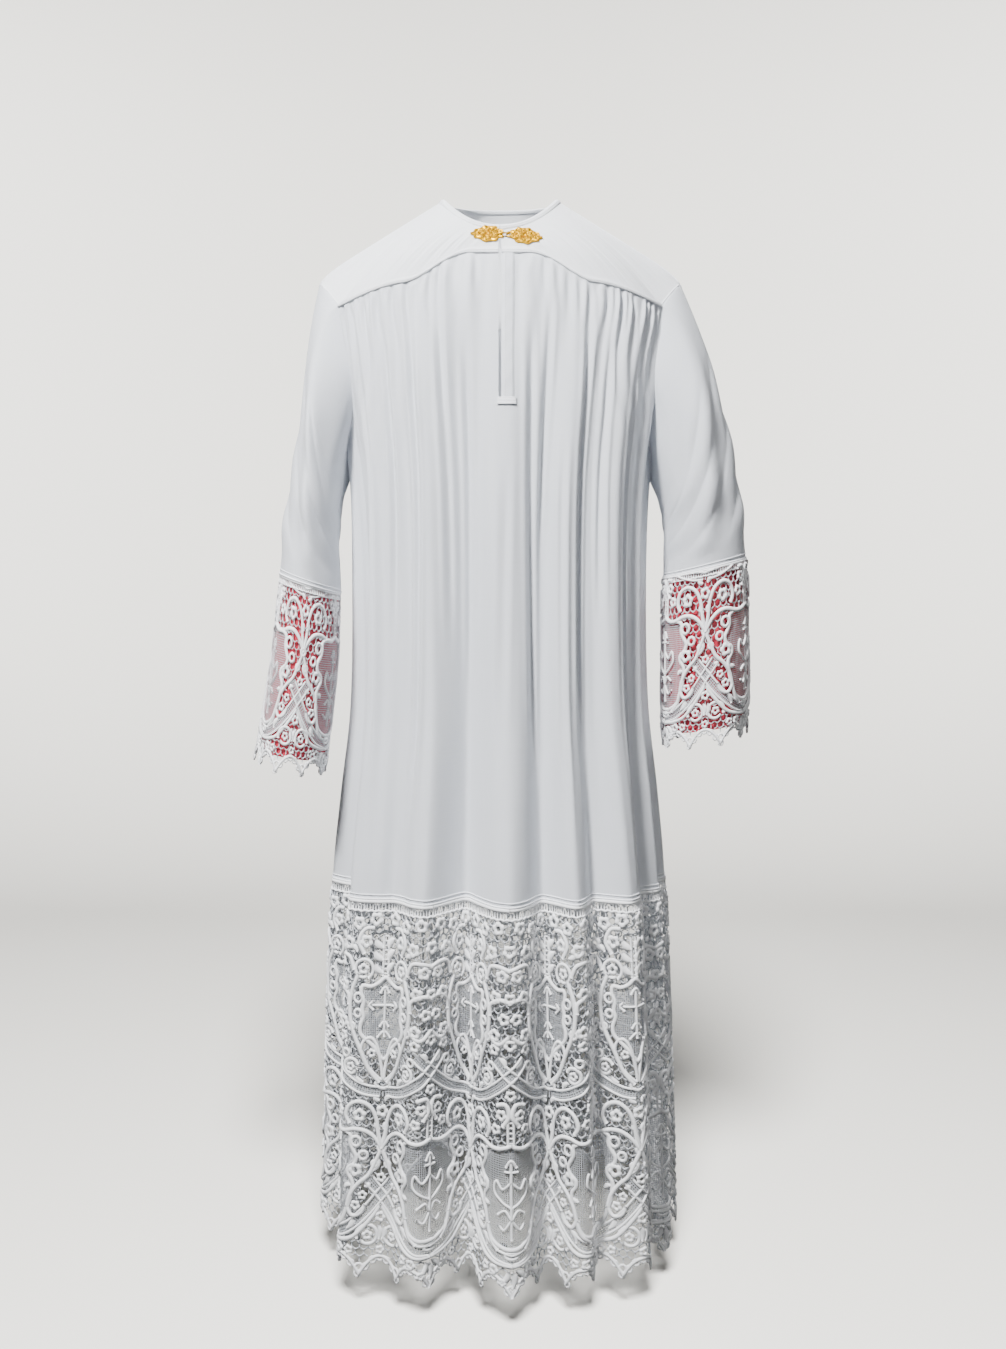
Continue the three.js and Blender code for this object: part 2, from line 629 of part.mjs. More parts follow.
// The tool that cuts one diamond-shaped gap, square to the lace at its middle.
function gapTool(across, down, gap, surface) {
  const right = surface(across + 3, down).sub(surface(across - 3, down));
  const below = surface(across, down + 3).sub(surface(across, down - 3));
  const out = below.clone().cross(right).normalize();
  const corners = [
    [0, -gap.tall / 2],
    [-gap.wide / 2, 0],
    [0, gap.tall / 2],
    [gap.wide / 2, 0],
  ];
  const ring = (lift) =>
    corners.map(([x, y]) => surface(across + x, down + y).addScaledVector(out, lift));
  return prism(ring(GAP_TOOL_REACH), ring(-GAP_TOOL_REACH));
}

// The gaps of every repeat that lie whole within a stretch of the lace.
function gapTools(stretch, surface) {
  const tools = [];
  for (let repeat = -1; repeat < stretch.repeats; repeat++) {
    for (const gap of GAPS) {
      for (const side of [-1, 1]) {
        const across = (repeat + 0.5) * REPEAT_WIDTH + stretch.shift + side * gap.across;
        const down = gap.down - stretch.top;
        const fromEdge = Math.min(across - stretch.from, stretch.to - across);
        if (fromEdge > gap.wide && down > gap.tall) tools.push(gapTool(across, down, gap, surface));
      }
    }
  }
  return tools;
}

// ---- Hem lace ----------------------------------------------------------------------------------

// Angles that share the body's ring out by length, so the lace's repeats keep their width on the folds.
function anglesByLength(drop) {
  const samples = 1440;
  const angles = [];
  const runs = [0];
  let before = bodyPoint(drop, -90);
  for (let k = 0; k <= samples; k++) {
    const deg = -90 + (360 * k) / samples;
    const here = bodyPoint(drop, deg);
    angles.push(deg);
    if (k > 0) runs.push(runs[k - 1] + here.distanceTo(before));
    before = here;
  }
  return (share) => {
    const wanted = share * runs[samples];
    let k = 1;
    while (k < samples && runs[k] < wanted) k++;
    return mix(angles[k - 1], angles[k], (wanted - runs[k - 1]) / (runs[k] - runs[k - 1]));
  };
}

const ringAngles = new Map();
function hemAngle(share, drop) {
  const level = (drop - LACE_DROP) / RING_SPACING;
  const angle = (k) => {
    if (!ringAngles.has(k)) ringAngles.set(k, anglesByLength(LACE_DROP + k * RING_SPACING));
    return ringAngles.get(k)(share);
  };
  return mix(angle(Math.floor(level)), angle(Math.floor(level) + 1), level - Math.floor(level));
}

const hemPoint = (share, drop) => bodyPoint(drop, hemAngle(share, drop));

// The column nearest the wearer's left side seam, where the front half ends.
function sideColumn() {
  let column = 0;
  while (hemAngle(column / HEM_LACE_COLUMNS, LACE_DROP) < 90) column++;
  return column;
}

function hemLace(isFront) {
  const side = sideColumn();
  const [first, last] = isFront ? [0, side] : [side, HEM_LACE_COLUMNS];
  const columns = last - first;
  const grid = HEM_LACE_ROWS.map((down) =>
    Array.from({ length: columns + 1 }, (_, c) => {
      const share = mix(first + HEM_PARTING, last - HEM_PARTING, c / columns) / HEM_LACE_COLUMNS;
      const end = HEM_DROP + scallop(share * HEM_REPEATS - HEM_SHIFT / REPEAT_WIDTH, SCALLOPS);
      return hemPoint(share, mix(LACE_DROP + SEAM_GAP / 2, end, down));
    }),
  );
  const axes = (r, c) => {
    if (c === 0 || c === columns) return [BACKWARDS];
    return r === 0 ? [UP] : [];
  };
  const around = HEM_REPEATS * REPEAT_WIDTH;
  const surface = (across, down) => hemPoint(across / around, LACE_DROP + down);
  const [from, to] = [first, last].map((column) => (column / HEM_LACE_COLUMNS) * around);
  const stretch = { repeats: HEM_REPEATS, top: 0, shift: HEM_SHIFT, from, to };
  const tools = gapTools(stretch, surface);
  return cut(clothWall(grid, LACE_WALL, axes), tools);
}

// ---- Clasp -------------------------------------------------------------------------------------

const yokes = [true, false].map((isLeft) => new THREE.Mesh(frontYoke(isLeft)));

// A point in front of the yoke, found on its outer surface and moved out.
function onYoke(x, drop, lift) {
  const ray = new THREE.Raycaster(vector(x, -400, -drop), BACKWARDS);
  return ray.intersectObjects(yokes)[0].point.addScaledVector(YOKE_OUT, lift);
}

// A leaf-shaped plate, domed, that follows the yoke.
function claspLeaf({ x, drop, tilt }) {
  const layer = (isTop) => {
    const points = [];
    for (let ring = LEAF.rings; ring >= 0; ring--) {
      const part = ring / LEAF.rings;
      for (let k = 0; k < (ring ? LEAF.points : 1); k++) {
        const turn = (2 * Math.PI * k) / LEAF.points;
        const reach = part * (1 + 0.07 * Math.cos(5 * turn));
        const spot = vector((Math.cos(turn) * LEAF.long) / 2, (Math.sin(turn) * LEAF.tall) / 2, 0);
        spot.multiplyScalar(reach).applyAxisAngle(vector(0, 0, 1), radians(tilt));
        const lift = isTop ? LEAF.thick + LEAF.dome * (1 - part ** 2) : 0;
        points.push(onYoke(x + spot.x, drop - spot.y, CLASP_LIFT + lift));
      }
    }
    return points;
  };
  const points = [...layer(true), ...layer(false)];
  const far = points.length / 2;
  const faces = [];
  const quad = (a, b, c, d) => faces.push(a, b, c, a, c, d);
  for (let k = 0; k < LEAF.points; k++) {
    const next = (k + 1) % LEAF.points;
    quad(k, k + far, next + far, next);
    for (let ring = 0; ring < LEAF.rings - 1; ring++) {
      const cell = [k, next, next + LEAF.points, k + LEAF.points].map((v) => v + ring * LEAF.points);
      quad(...cell);
      quad(...cell.map((v) => v + far).reverse());
    }
    const rim = (LEAF.rings - 1) * LEAF.points;
    faces.push(rim + k, rim + next, far - 1, rim + next + far, rim + k + far, 2 * far - 1);
  }
  return geometryOf(points, faces);
}

function claspEye() {
  const place = onYoke(EYE.x, EYE.drop, CLASP_LIFT + EYE.wire);
  const ring = new THREE.TorusGeometry(EYE.radius, EYE.wire, 6, 12);
  return ring.rotateX(radians(YOKE_LEAN)).translate(place.x, place.y, place.z);
}

// The hook runs from its leaf over the eye's wire and down through the hole.
function claspHook() {
  const over = CLASP_LIFT + 3 * EYE.wire + SEAM_GAP + 0.3;
  const path = new THREE.CatmullRomCurve3([
    onYoke(EYE.x - 14, EYE.drop, over - 1.4),
    onYoke(EYE.x - 7, EYE.drop, over - 0.3),
    onYoke(EYE.x - 3.2, EYE.drop, over + 0.2),
    onYoke(EYE.x - 0.9, EYE.drop, over - 0.4),
    onYoke(EYE.x - 0.1, EYE.drop, over - 1.8),
    onYoke(EYE.x, EYE.drop, CLASP_LIFT + 0.4),
  ]);
  const wire = new THREE.Shape().absarc(0, 0, EYE.wire, 0, 2 * Math.PI);
  return new THREE.ExtrudeGeometry(wire, { steps: 10, curveSegments: 3, extrudePath: path });
}

// ---- The object --------------------------------------------------------------------------------

const alb = new THREE.Group();

function add(name, geometry, colour) {
  const mesh = new THREE.Mesh(geometry, new THREE.MeshStandardMaterial(COLOURS[colour]));
  mesh.name = name;
  alb.add(mesh);
}

add("front_body", cut(panelWall(FRONT), [slitTool()]), "cotton");
add("back_body", panelWall(BACK), "cotton");
add("placket", placket(), "cotton");
add("yoke_front_right", cut(frontYoke(false), [slitTool()]), "cotton");
add("yoke_front_left", cut(frontYoke(true), [slitTool()]), "cotton");
add("yoke_back", backYoke(), "cotton");
for (const [side, table, isLeft] of [
  ["right", RIGHT_SLEEVE, false],
  ["left", LEFT_SLEEVE, true],
]) {
  add(`sleeve_${side}_front`, placed(sleeveHalf(table, isLeft, true), isLeft), "cotton");
  add(`sleeve_${side}_back`, placed(sleeveHalf(table, isLeft, false), isLeft), "cotton");
  add(`cuff_lace_${side}_front`, placed(laceCuff(table, true), isLeft), "lace");
  add(`cuff_lace_${side}_back`, placed(laceCuff(table, false), isLeft), "lace");
  add(`cuff_lining_${side}`, placed(cuffLining(table), isLeft), "lining");
}
add("hem_lace_front", hemLace(true), "lace");
add("hem_lace_back", hemLace(false), "lace");
add("clasp_right", join([claspLeaf(RIGHT_LEAF), claspHook()]), "gilt");
add("clasp_left", join([claspLeaf(LEFT_LEAF), claspEye()]), "gilt");

export default alb;
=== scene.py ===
"""Looks of a priest's alb, worn and hanging: fine white cotton, thread lace, red cuff linings and a
gilt clasp. Sizes are in millimetres until the meshes are made; a "drop" is a distance below the
neck, and degrees run round the body from the front middle towards the wearer's left."""

import math

import bmesh
import bpy
import numpy as np
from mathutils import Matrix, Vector
from mathutils.bvhtree import BVHTree


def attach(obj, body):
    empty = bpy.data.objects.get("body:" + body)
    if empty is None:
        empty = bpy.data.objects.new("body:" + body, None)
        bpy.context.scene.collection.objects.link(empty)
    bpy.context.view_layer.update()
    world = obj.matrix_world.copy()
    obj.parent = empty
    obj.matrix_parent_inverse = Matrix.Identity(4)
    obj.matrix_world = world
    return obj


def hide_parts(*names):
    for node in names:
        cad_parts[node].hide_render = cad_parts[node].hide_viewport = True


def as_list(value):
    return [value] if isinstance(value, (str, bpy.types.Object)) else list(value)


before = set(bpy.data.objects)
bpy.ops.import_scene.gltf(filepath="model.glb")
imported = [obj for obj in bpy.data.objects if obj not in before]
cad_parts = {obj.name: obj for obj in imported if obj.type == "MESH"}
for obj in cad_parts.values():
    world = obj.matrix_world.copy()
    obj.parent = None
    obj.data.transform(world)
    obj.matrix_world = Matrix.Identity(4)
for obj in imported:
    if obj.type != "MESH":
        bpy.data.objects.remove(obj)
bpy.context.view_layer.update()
MM = 0.001

# ---- Camera ----



def placed(name, data, place, aim):
    """An object in the scene, which looks along aim."""
    holder = bpy.data.objects.new(name, data)
    bpy.context.scene.collection.objects.link(holder)
    holder.location = place
    holder.rotation_mode = "QUATERNION"
    holder.rotation_quaternion = Vector(aim).to_track_quat("-Z", "Y")
    return holder


camera = placed("camera", bpy.data.cameras.new("camera"), (0.004, -1.8, -0.503), (0, 1.8, -0.136))
camera.data.lens = 34.8
bpy.context.scene.camera = camera

# ---- Sizes of the garment ----

SQUARENESS = 0.85
UNDERARM = 375
LACE = 922
HEM = 1396
# drop, half width, depth in front, depth behind
TORSO = [
    (60, 220, 86, 92),
    (91, 222, 104, 100),
    (150, 226, 117, 112),
    (250, 217, 128, 118),
    (375, 201, 133, 120),
    (520, 197, 136, 123),
    (680, 199, 143, 130),
    (800, 211, 154, 141),
    (922, 222, 166, 154),
    (1120, 231, 178, 168),
    (1430, 241, 190, 185),
]
# degrees, reach at the hem
FOLDS = [
    (-90, 13), (-70, -38), (-51, 22), (-34, -5), (-22, 15), (-10, -50), (2, 20), (12.5, -33),
    (22, 14), (31, -20), (44, 20), (59, -10), (68, 6), (78, -22), (91, 10), (105, -24), (119, 18),
    (133, -27), (147, 17), (160, -30), (173, 20), (185, -24), (198, 19), (212, -31), (227, 17),
    (241, -22), (255, 14), (270, 13),
]
# drop, share of that reach
FOLD_GROWTH = [(90, 0), (150, 0), (260, 0.24), (375, 0.36), (680, 0.6), (922, 0.84), (1430, 1)]
# degrees, first drop, last drop, depth, half width in degrees, slant in degrees
CREASES = [
    (7.5, 150, 800, 5.0, 1.0, 2.5), (13.5, 110, 520, 3.6, 0.9, -1.5), (-8.5, 170, 700, 4.2, 1.0, -1.0),
    (-17, 120, 640, 4.4, 1.1, 1.5), (-27, 140, 860, 5.0, 1.2, -2.0), (27, 130, 760, 4.8, 1.1, 1.0),
    (36, 140, 600, 3.8, 1.1, 2.0), (-38, 150, 620, 4.0, 1.2, -2.5), (51, 200, 870, 4.5, 1.3, 1.5),
    (-52, 190, 800, 4.2, 1.3, 2.0), (1.5, 330, 760, 2.6, 0.9, -1.5), (19.5, 300, 880, 3.4, 1.0, 0.5),
    (164, 160, 760, 4.6, 1.1, 1.0), (176, 170, 640, 4.0, 1.0, -1.5), (190, 150, 820, 4.8, 1.2, 1.5),
    (205, 170, 700, 4.4, 1.1, -1.0), (222, 160, 800, 4.2, 1.2, 2.0), (148, 170, 680, 4.2, 1.1, -2.0),
    (134, 170, 820, 4.4, 1.2, 1.0), (236, 180, 640, 4.0, 1.2, -1.0),
]
GATHER_REACH, GATHER_RISE, GATHER_FADE = 3, 26, 150
FRONT_GATHERS, BACK_GATHERS = 18, 14
ARMHOLE_DEG, ARMHOLE_HOLLOW = 68, 7
YOKE_MIDDLE, YOKE_SIDE, YOKE_CORNER = 91, 127, 148
SLIT_END, SLIT_HALF, SLIT_SHARE = 283, 1.0, 0.003
NECK_HALF, NECK_FRONT, NECK_BACK, NECK_FRONT_DROP, NECK_BACK_DROP = 76, 88, 76, 54, -8
SHOULDER_TIP = np.array([250.0, 0.0, -105.0])
TIP_PULL, TIP_SPREAD = 8.5, 17  # how the shoulders' tips are rounded
YOKE_BULGE, YOKE_CORNER_DEG = 12, 62
# rows and columns of the sheets
FRONT_GRID, BACK_GRID, YOKE_GRID, ARM_COLUMNS = (128, 160), (96, 250), (30, 110), 34
SLEEVE_GRID, LINING_GRID, PLACKET_GRID, LEAF_GRID = (74, 150), (48, 91), (90, 14), (34, 121)
# along the cloth from the front middle to the armhole: the yoke's seam, and the gathered front
YOKE_ARC, FRONT_ARC = 222 * 1.1, 222 * 1.22
# outer line's x and drop, inner line's x and drop, half depth, middle's y
RIGHT_SLEEVE = [
    (250, 105, 202, 376, 70, 0),
    (256, 165, 214, 398, 75, -3),
    (263, 245, 217, 416, 79, -8),
    (271, 320, 218, 436, 81, -13),
    (281, 385, 219, 462, 79, -18),
    (290, 445, 218, 494, 77, -22),
    (297, 499, 217, 526, 75, -26),
    (309, 591, 219, 612, 73, -32),
    (321, 673, 228, 698, 71, -38),
    (333, 752, 237, 772, 70, -43),
]
LEFT_SLEEVE = [
    (250, 105, 202, 376, 70, 0),
    (266, 160, 215, 396, 75, 0),
    (288, 230, 220, 412, 80, 1),
    (306, 300, 223, 430, 82, 2),
    (320, 366, 225, 450, 80, 3),
    (330, 426, 226, 476, 77, 4),
    (337, 478, 226, 505, 74, 5),
    (342, 563, 225, 588, 73, 6),
    (344, 646, 226, 668, 71, 7),
    (341, 722, 228, 742, 70, 8),
]
CUFF_ROW, EDGE_ROW = 6, 9  # rows where the cotton ends and where the lace ends
CUFF_SCALLOP, LINING_RISE, LINING_INSET = 16, 9, 3.6
REPEATS, CUFF_REPEATS, HEM_GROUP = 11, 3, 3  # HEM_GROUP repeats make a piece of the hem lace
REPEAT_WIDTH = 160
SCALLOP_DEPTH, SCALLOP_WIDTH = 26, REPEAT_WIDTH / 3
HEM_SHIFT = -0.1  # how far the repeats stand from the wearer's right side seam, in repeats
SLEEVES = (("left", LEFT_SLEEVE, True), ("right", RIGHT_SLEEVE, False))
TOUCHING = 0.00002  # metres between vertices that are sewn together


def ease(low, high, x):
    t = np.clip((np.asarray(x, float) - low) / (high - low), 0, 1)
    return t * t * (3 - 2 * t)


def mix(a, b, t):
    return a + (b - a) * t


def norm(vectors):
    return np.linalg.norm(vectors, axis=-1)


def unit(vectors):
    return vectors / np.maximum(norm(vectors), 1e-9)[..., None]


def running(steps):
    """How far along a path each of its points lies."""
    return np.concatenate([[0], np.cumsum(steps)])


def at_marks(marks, run, points):
    """Points at given distances along a path whose own points lie at run."""
    return np.stack([np.interp(marks, run, column) for column in points.T], 1)


def on_side(points, is_left):
    """Points given as if on the wearer's left, for either side."""
    return points if is_left else points * np.array([-1, 1, 1])


def mirror_x(sheet):
    return on_side(sheet, False)[:, ::-1]


def read(table, x):
    """All columns of a table at x, smoothly between its rows, which go up in their first column."""
    rows = np.array(table, float)
    xs, ys = rows[:, 0], rows[:, 1:]
    slopes = np.empty_like(ys)
    slopes[1:-1] = (ys[2:] - ys[:-2]) / (xs[2:] - xs[:-2])[:, None]
    slopes[0] = (ys[1] - ys[0]) / (xs[1] - xs[0])
    slopes[-1] = (ys[-1] - ys[-2]) / (xs[-1] - xs[-2])
    x = np.asarray(x, float)
    i = np.clip(np.searchsorted(xs, x, side="right") - 1, 0, len(xs) - 2)
    span = (xs[i + 1] - xs[i])[..., None]
    t = np.clip((x - xs[i]) / (xs[i + 1] - xs[i]), 0, 1)[..., None]
    rest = 1 - t
    value = (1 + 2 * t) * rest**2 * ys[i] + t * rest**2 * span * slopes[i]
    value = value + t**2 * (3 - 2 * t) * ys[i + 1] - t**2 * rest * span * slopes[i + 1]
    return np.moveaxis(value, -1, 0)


def sin_cos(deg):
    return np.sin(np.radians(deg)), np.cos(np.radians(deg))


def signed_power(value, power):
    return np.sign(value) * np.abs(value) ** power


def fold_reach(deg):
    turn = (deg + 90) % 360 - 90
    degs, reaches = np.array(FOLDS, float).T
    i = np.clip(np.searchsorted(degs, turn, side="right") - 1, 0, len(degs) - 2)
    return mix(reaches[i], reaches[i + 1], ease(degs[i], degs[i + 1], turn))


def body(drop, deg, extra=0):
    """Points of the body's outer surface."""
    drop, deg = np.broadcast_arrays(drop, deg)
    s, c = sin_cos(deg)
    half, front, back = read(TORSO, drop)
    depth = np.where(c > 0, front, back)
    out_x, out_y = s / half, -c / depth
    length = np.hypot(out_x, out_y)
    reach = fold_reach(deg) * read(FOLD_GROWTH, drop)[0] + extra
    x = half * signed_power(s, SQUARENESS) + out_x / length * reach
    y = -depth * signed_power(c, SQUARENESS) + out_y / length * reach
    return np.stack([x, y, -drop], -1)


def small_folds(drop, deg):
    """The finer drape between the long folds."""
    a = np.radians(deg)
    wave = 1.1 * np.sin(31 * a + 0.004 * drop + 1.3) + 0.8 * np.sin(53 * a - 0.006 * drop)
    wave = wave + 0.6 * np.sin(17 * a + 0.011 * drop + 4)
    return wave * ease(150, 420, drop) * (1 - 0.35 * ease(LACE - 60, LACE, drop))


def creases(drop, deg):
    """Narrow grooves beside the long folds, each of them slanting a little."""
    cut = np.zeros(np.shape(drop * deg))
    for at, top, foot, depth, wide, slant in CREASES:
        line = at + slant * (drop - top) / (foot - top)
        away = (deg - line) / wide
        groove = np.exp(-np.abs(away) ** 1.5) - 0.75 * np.exp(-((np.abs(away) - 1.9) ** 2))
        cut = cut + depth * groove * ease(top, top + 130, drop) * (1 - ease(foot - 170, foot, drop))
    return cut


def soften(points):
    """Rounds the shoulders' tips, for points on either side."""
    x, y, z = np.moveaxis(points, -1, 0)
    away = norm(np.stack([np.abs(x), 0.35 * y, z], -1) - SHOULDER_TIP)
    pull = TIP_PULL * np.exp(-away / TIP_SPREAD)
    return points + pull[..., None] * np.stack([-0.8 * np.sign(x), 0 * x, -0.6 + 0 * x], -1)


# ---- Meshes ----


def make(name, verts, faces, materials, uv=None, tones=0):
    """A piece in the scene; tones say which of its materials each face takes."""
    mesh = bpy.data.meshes.new(name)
    mesh.from_pydata((np.asarray(verts) * MM).tolist(), [], faces)
    for material in materials:
        mesh.materials.append(material)
    mesh.polygons.foreach_set("material_index", np.broadcast_to(tones, len(faces)).astype(np.int32))
    mesh.polygons.foreach_set("use_smooth", np.ones(len(faces), bool))
    if uv is not None:
        layer = mesh.uv_layers.new(name="cloth")
        loops = np.empty(len(mesh.loops), np.int32)
        mesh.loops.foreach_get("vertex_index", loops)
        layer.data.foreach_set("uv", (np.asarray(uv)[loops] * MM).ravel())
    piece = bpy.data.objects.new(name, mesh)
    bpy.context.scene.collection.objects.link(piece)
    return piece


def grid_faces(rows, columns, closed=False):
    r, c = np.meshgrid(np.arange(rows - 1), np.arange(columns if closed else columns - 1), indexing="ij")
    n = (c + 1) % columns
    quads = np.stack([r * columns + c, (r + 1) * columns + c, (r + 1) * columns + n, r * columns + n], -1)
    return quads.reshape(-1, 4).tolist()


def thread_lengths(points):
    """How far along both threads of a sheet its columns and its rows lie."""
    across, along = norm(np.diff(points, axis=1)), norm(np.diff(points, axis=0))
    return running(across.mean(0)), running(along.mean(1))


def spread(u, v):
    """Texture coordinates of a sheet's points."""
    return np.stack(np.broadcast_arrays(u[None, :], v[:, None]), -1).reshape(-1, 2)


def cloth(name, points, material):
    """A sheet from rows of points, with its lengths along both threads as texture coordinates."""
    uv = spread(*thread_lengths(points))
    return make(name, points.reshape(-1, 3), grid_faces(*points.shape[:2]), [material], uv=uv)


def merge_close(piece, distance):
    """Sews vertices at the same place together."""
    mesh = bmesh.new()
    mesh.from_mesh(piece.data)
    bmesh.ops.remove_doubles(mesh, verts=mesh.verts, dist=distance)
    mesh.to_mesh(piece.data)
    mesh.free()


def directions(path, closed):
    """Unit vectors along a path."""
    return unit(np.roll(path, -1, 0) - np.roll(path, 1, 0) if closed else np.gradient(path, axis=0))


def cord_faces(count, sides, closed, turned=False):
    """Faces between rings of vertices, with an end at either side of a cord that isn't closed."""
    faces = []
    for i in range(count if closed else count - 1):
        a, b = i * sides, (i + 1) % count * sides
        faces += [(a + k, a + (k + 1) % sides, b + (k + 1) % sides, b + k) for k in range(sides)]
    if not closed:
        first, last = tuple(range(sides)), tuple(range((count - 1) * sides, count * sides))
        faces += [first[::-1], last] if turned else [first, last[::-1]]
    return faces


def sweep(path, width, height, sides, closed, lift):
    """A cord along points (x, v), flat on the cloth: its vertices are (x, v, height off the cloth)."""
    path = np.asarray(path, float)
    along = directions(path, closed)
    side = np.stack([-along[:, 1], along[:, 0]], 1)
    turns = 2 * np.pi * (np.arange(sides) + 0.5) / sides
    widths = np.broadcast_to(width, len(path))[:, None]
    heights = np.broadcast_to(height, len(path))[:, None]
    flat = path[:, None] + side[:, None] * (np.cos(turns) * widths / 2)[..., None]
    off = lift + np.sin(turns) * heights / 2
    verts = np.concatenate([flat, off[..., None]], -1).reshape(-1, 3)
    return verts, cord_faces(len(path), sides, closed)


def tube(path, radius, sides, closed=False):
    """A round cord along points in space."""
    along = directions(path, closed)
    steep = abs(along[:, 2]).mean() >= 0.7
    side = unit(np.cross(along, (0.2, -0.97, 0.1) if steep else (0.31, -0.12, 0.94)))
    up = np.cross(side, along)
    turns = 2 * np.pi * np.arange(sides)[:, None] / sides
    ring = side[:, None] * np.cos(turns) + up[:, None] * np.sin(turns)
    return (path[:, None] + ring * radius).reshape(-1, 3), cord_faces(len(path), sides, closed, True)


class Threads:
    """Gathers meshes into one."""

    def __init__(self):
        self.verts, self.faces, self.tones, self.count = [], [], [], 0

    def add(self, verts, faces, tone=0):
        """Adds a mesh; tone is the number of its material, or a number for each face."""
        self.verts.append(np.asarray(verts, float))
        self.faces += [tuple(k + self.count for k in face) for face in faces]
        self.tones += [tone] * len(faces) if isinstance(tone, int) else list(tone)
        self.count += len(verts)

    def all_verts(self):
        return np.concatenate(self.verts)

    def piece(self, name, materials, slot):
        return make(name, self.all_verts(), self.faces, materials, tones=self.tones)


def smooth_line(points, step, closed=False):
    """A Catmull-Rom curve through points, with a point each step."""
    p = np.asarray(points, float)
    if closed:
        p = np.vstack([p[-1], p, p[0], p[1]])
    else:
        p = np.vstack([2 * p[0] - p[1], p, 2 * p[-1] - p[-2]])
    parts = []
    for a, b, c, d in zip(p[:-3], p[1:-2], p[2:-1], p[3:]):
        n = max(1, int(round(norm(c - b) / step)))
        t = (np.arange(n) / n)[:, None]
        bend, twist = 2 * a - 5 * b + 4 * c - d, 3 * b - a - 3 * c + d
        parts.append(0.5 * (2 * b + (c - a) * t + bend * t**2 + twist * t**3))
    line = np.vstack(parts)
    return line if closed else np.vstack([line, p[-2]])


def inside(polygon, x, y):
    """True where points lie in a polygon."""
    px, py = polygon.T
    qx, qy = np.roll(px, -1), np.roll(py, -1)
    hit = np.zeros(np.shape(x), bool)
    for a, b, c, d in zip(px, py, qx, qy):
        if b == d:
            continue
        crosses = (b > y) != (d > y)
        hit ^= crosses & (x < (c - a) * (y - b) / (d - b) + a)
    return hit


# ---- Materials ----


class Nodes:
    """A short way to write a material's node tree."""

    def __init__(self, name):
        self.material = bpy.data.materials.new(name)
        self.material.use_nodes = True
        self.tree = self.material.node_tree
        self.shader = self.tree.nodes["Principled BSDF"]
        self.output = self.tree.nodes["Material Output"]

    def new(self, kind, inputs=None, **values):
        node = self.tree.nodes.new(kind)
        for key, value in values.items():
            setattr(node, key, value)
        self.fill(node, inputs or {})
        return node

    def fill(self, node, inputs):
        """Gives a node's inputs their values, or links them to other nodes' outputs."""
        for key, value in inputs.items():
            if isinstance(value, bpy.types.NodeSocket):
                self.tree.links.new(value, node.inputs[key])
            else:
                node.inputs[key].default_value = value

    def math(self, operation, *values):
        return self.new("ShaderNodeMath", dict(enumerate(values)), operation=operation).outputs[0]

    def noise(self, vector, scale, detail=3.0):
        inputs = {"Vector": vector, "Scale": scale, "Detail": detail}
        return self.new("ShaderNodeTexNoise", inputs).outputs["Fac"]

    def blend(self, factor, low, high):
        node = self.new("ShaderNodeMix", {0: factor}, data_type="RGBA")
        colours = [k for k, socket in enumerate(node.inputs) if socket.type == "RGBA"]
        self.fill(node, {colours[0]: (*low, 1), colours[1]: (*high, 1)})
        return next(socket for socket in node.outputs if socket.type == "RGBA")

    def bump(self, height, distance):
        return self.new("ShaderNodeBump", {"Height": height, "Distance": distance}).outputs["Normal"]


def woven(name, low, high, pitch, roughness, depth, translucent, sheen, slub=0.35):
    """Plain-woven cloth: threads both ways on the cloth's own coordinates, with uneven thickness."""
    n = Nodes(name)
    uv = n.new("ShaderNodeUVMap", uv_map="cloth").outputs[0]
    axes = n.new("ShaderNodeSeparateXYZ", {0: uv})
    turns = 2 * math.pi / pitch
    warp, weft = (n.math("SINE", n.math("MULTIPLY", axes.outputs[k], turns)) for k in (0, 1))
    weave = n.math("MULTIPLY", warp, weft)
    slubs = n.math("ADD", *(
        n.noise(n.new("ShaderNodeVectorMath", {0: uv, 1: stretch}, operation="MULTIPLY").outputs[0], 900.0)
        for stretch in ((1, 0.02, 1), (0.02, 1, 1))
    ))
    clouds = n.noise(uv, 9.0, 4.0)
    height = n.math("ADD", n.math("MULTIPLY", weave, 0.5), n.math("MULTIPLY", slubs, slub))
    tone = n.math("ADD", n.math("MULTIPLY", slubs, 0.35), n.math("MULTIPLY", clouds, 0.3))
    looks = {"Base Color": n.blend(tone, low, high), "Normal": n.bump(height, depth)}
    n.fill(n.shader, looks | {"Roughness": roughness, "Sheen Weight": sheen})
    if translucent:
        glow = n.new("ShaderNodeBsdfTranslucent", {"Color": looks["Base Color"], "Normal": looks["Normal"]})
        both = {0: translucent, 1: n.shader.outputs[0], 2: glow.outputs[0]}
        n.fill(n.output, {"Surface": n.new("ShaderNodeMixShader", both).outputs[0]})
    return n.material


def thread(name, low, high, roughness, depth, scale):
    """Spun or twisted thread, whose fibres show as fine grain."""
    n = Nodes(name)
    place = n.new("ShaderNodeTexCoord").outputs["Object"]
    grain = n.noise(place, scale)
    tone = n.math("ADD", n.math("MULTIPLY", grain, 0.6), n.math("MULTIPLY", n.noise(place, 14.0, 2.0), 0.4))
    colour = n.blend(tone, low, high)
    n.fill(n.shader, {"Base Color": colour, "Roughness": roughness, "Normal": n.bump(grain, depth)})
    return n.material


def gilt_metal(low, high):
    n = Nodes("gilt")
    place = n.new("ShaderNodeTexCoord").outputs["Object"]
    worn = n.noise(place, 160.0, 4.0)
    roughness = n.math("ADD", n.math("MULTIPLY", worn, 0.2), 0.26)
    n.fill(n.shader, {"Base Color": n.blend(worn, low, high), "Metallic": 1.0, "Roughness": roughness})
    n.fill(n.shader, {"Normal": n.bump(n.noise(place, 1500.0, 2.0), 0.00006)})
    return n.material


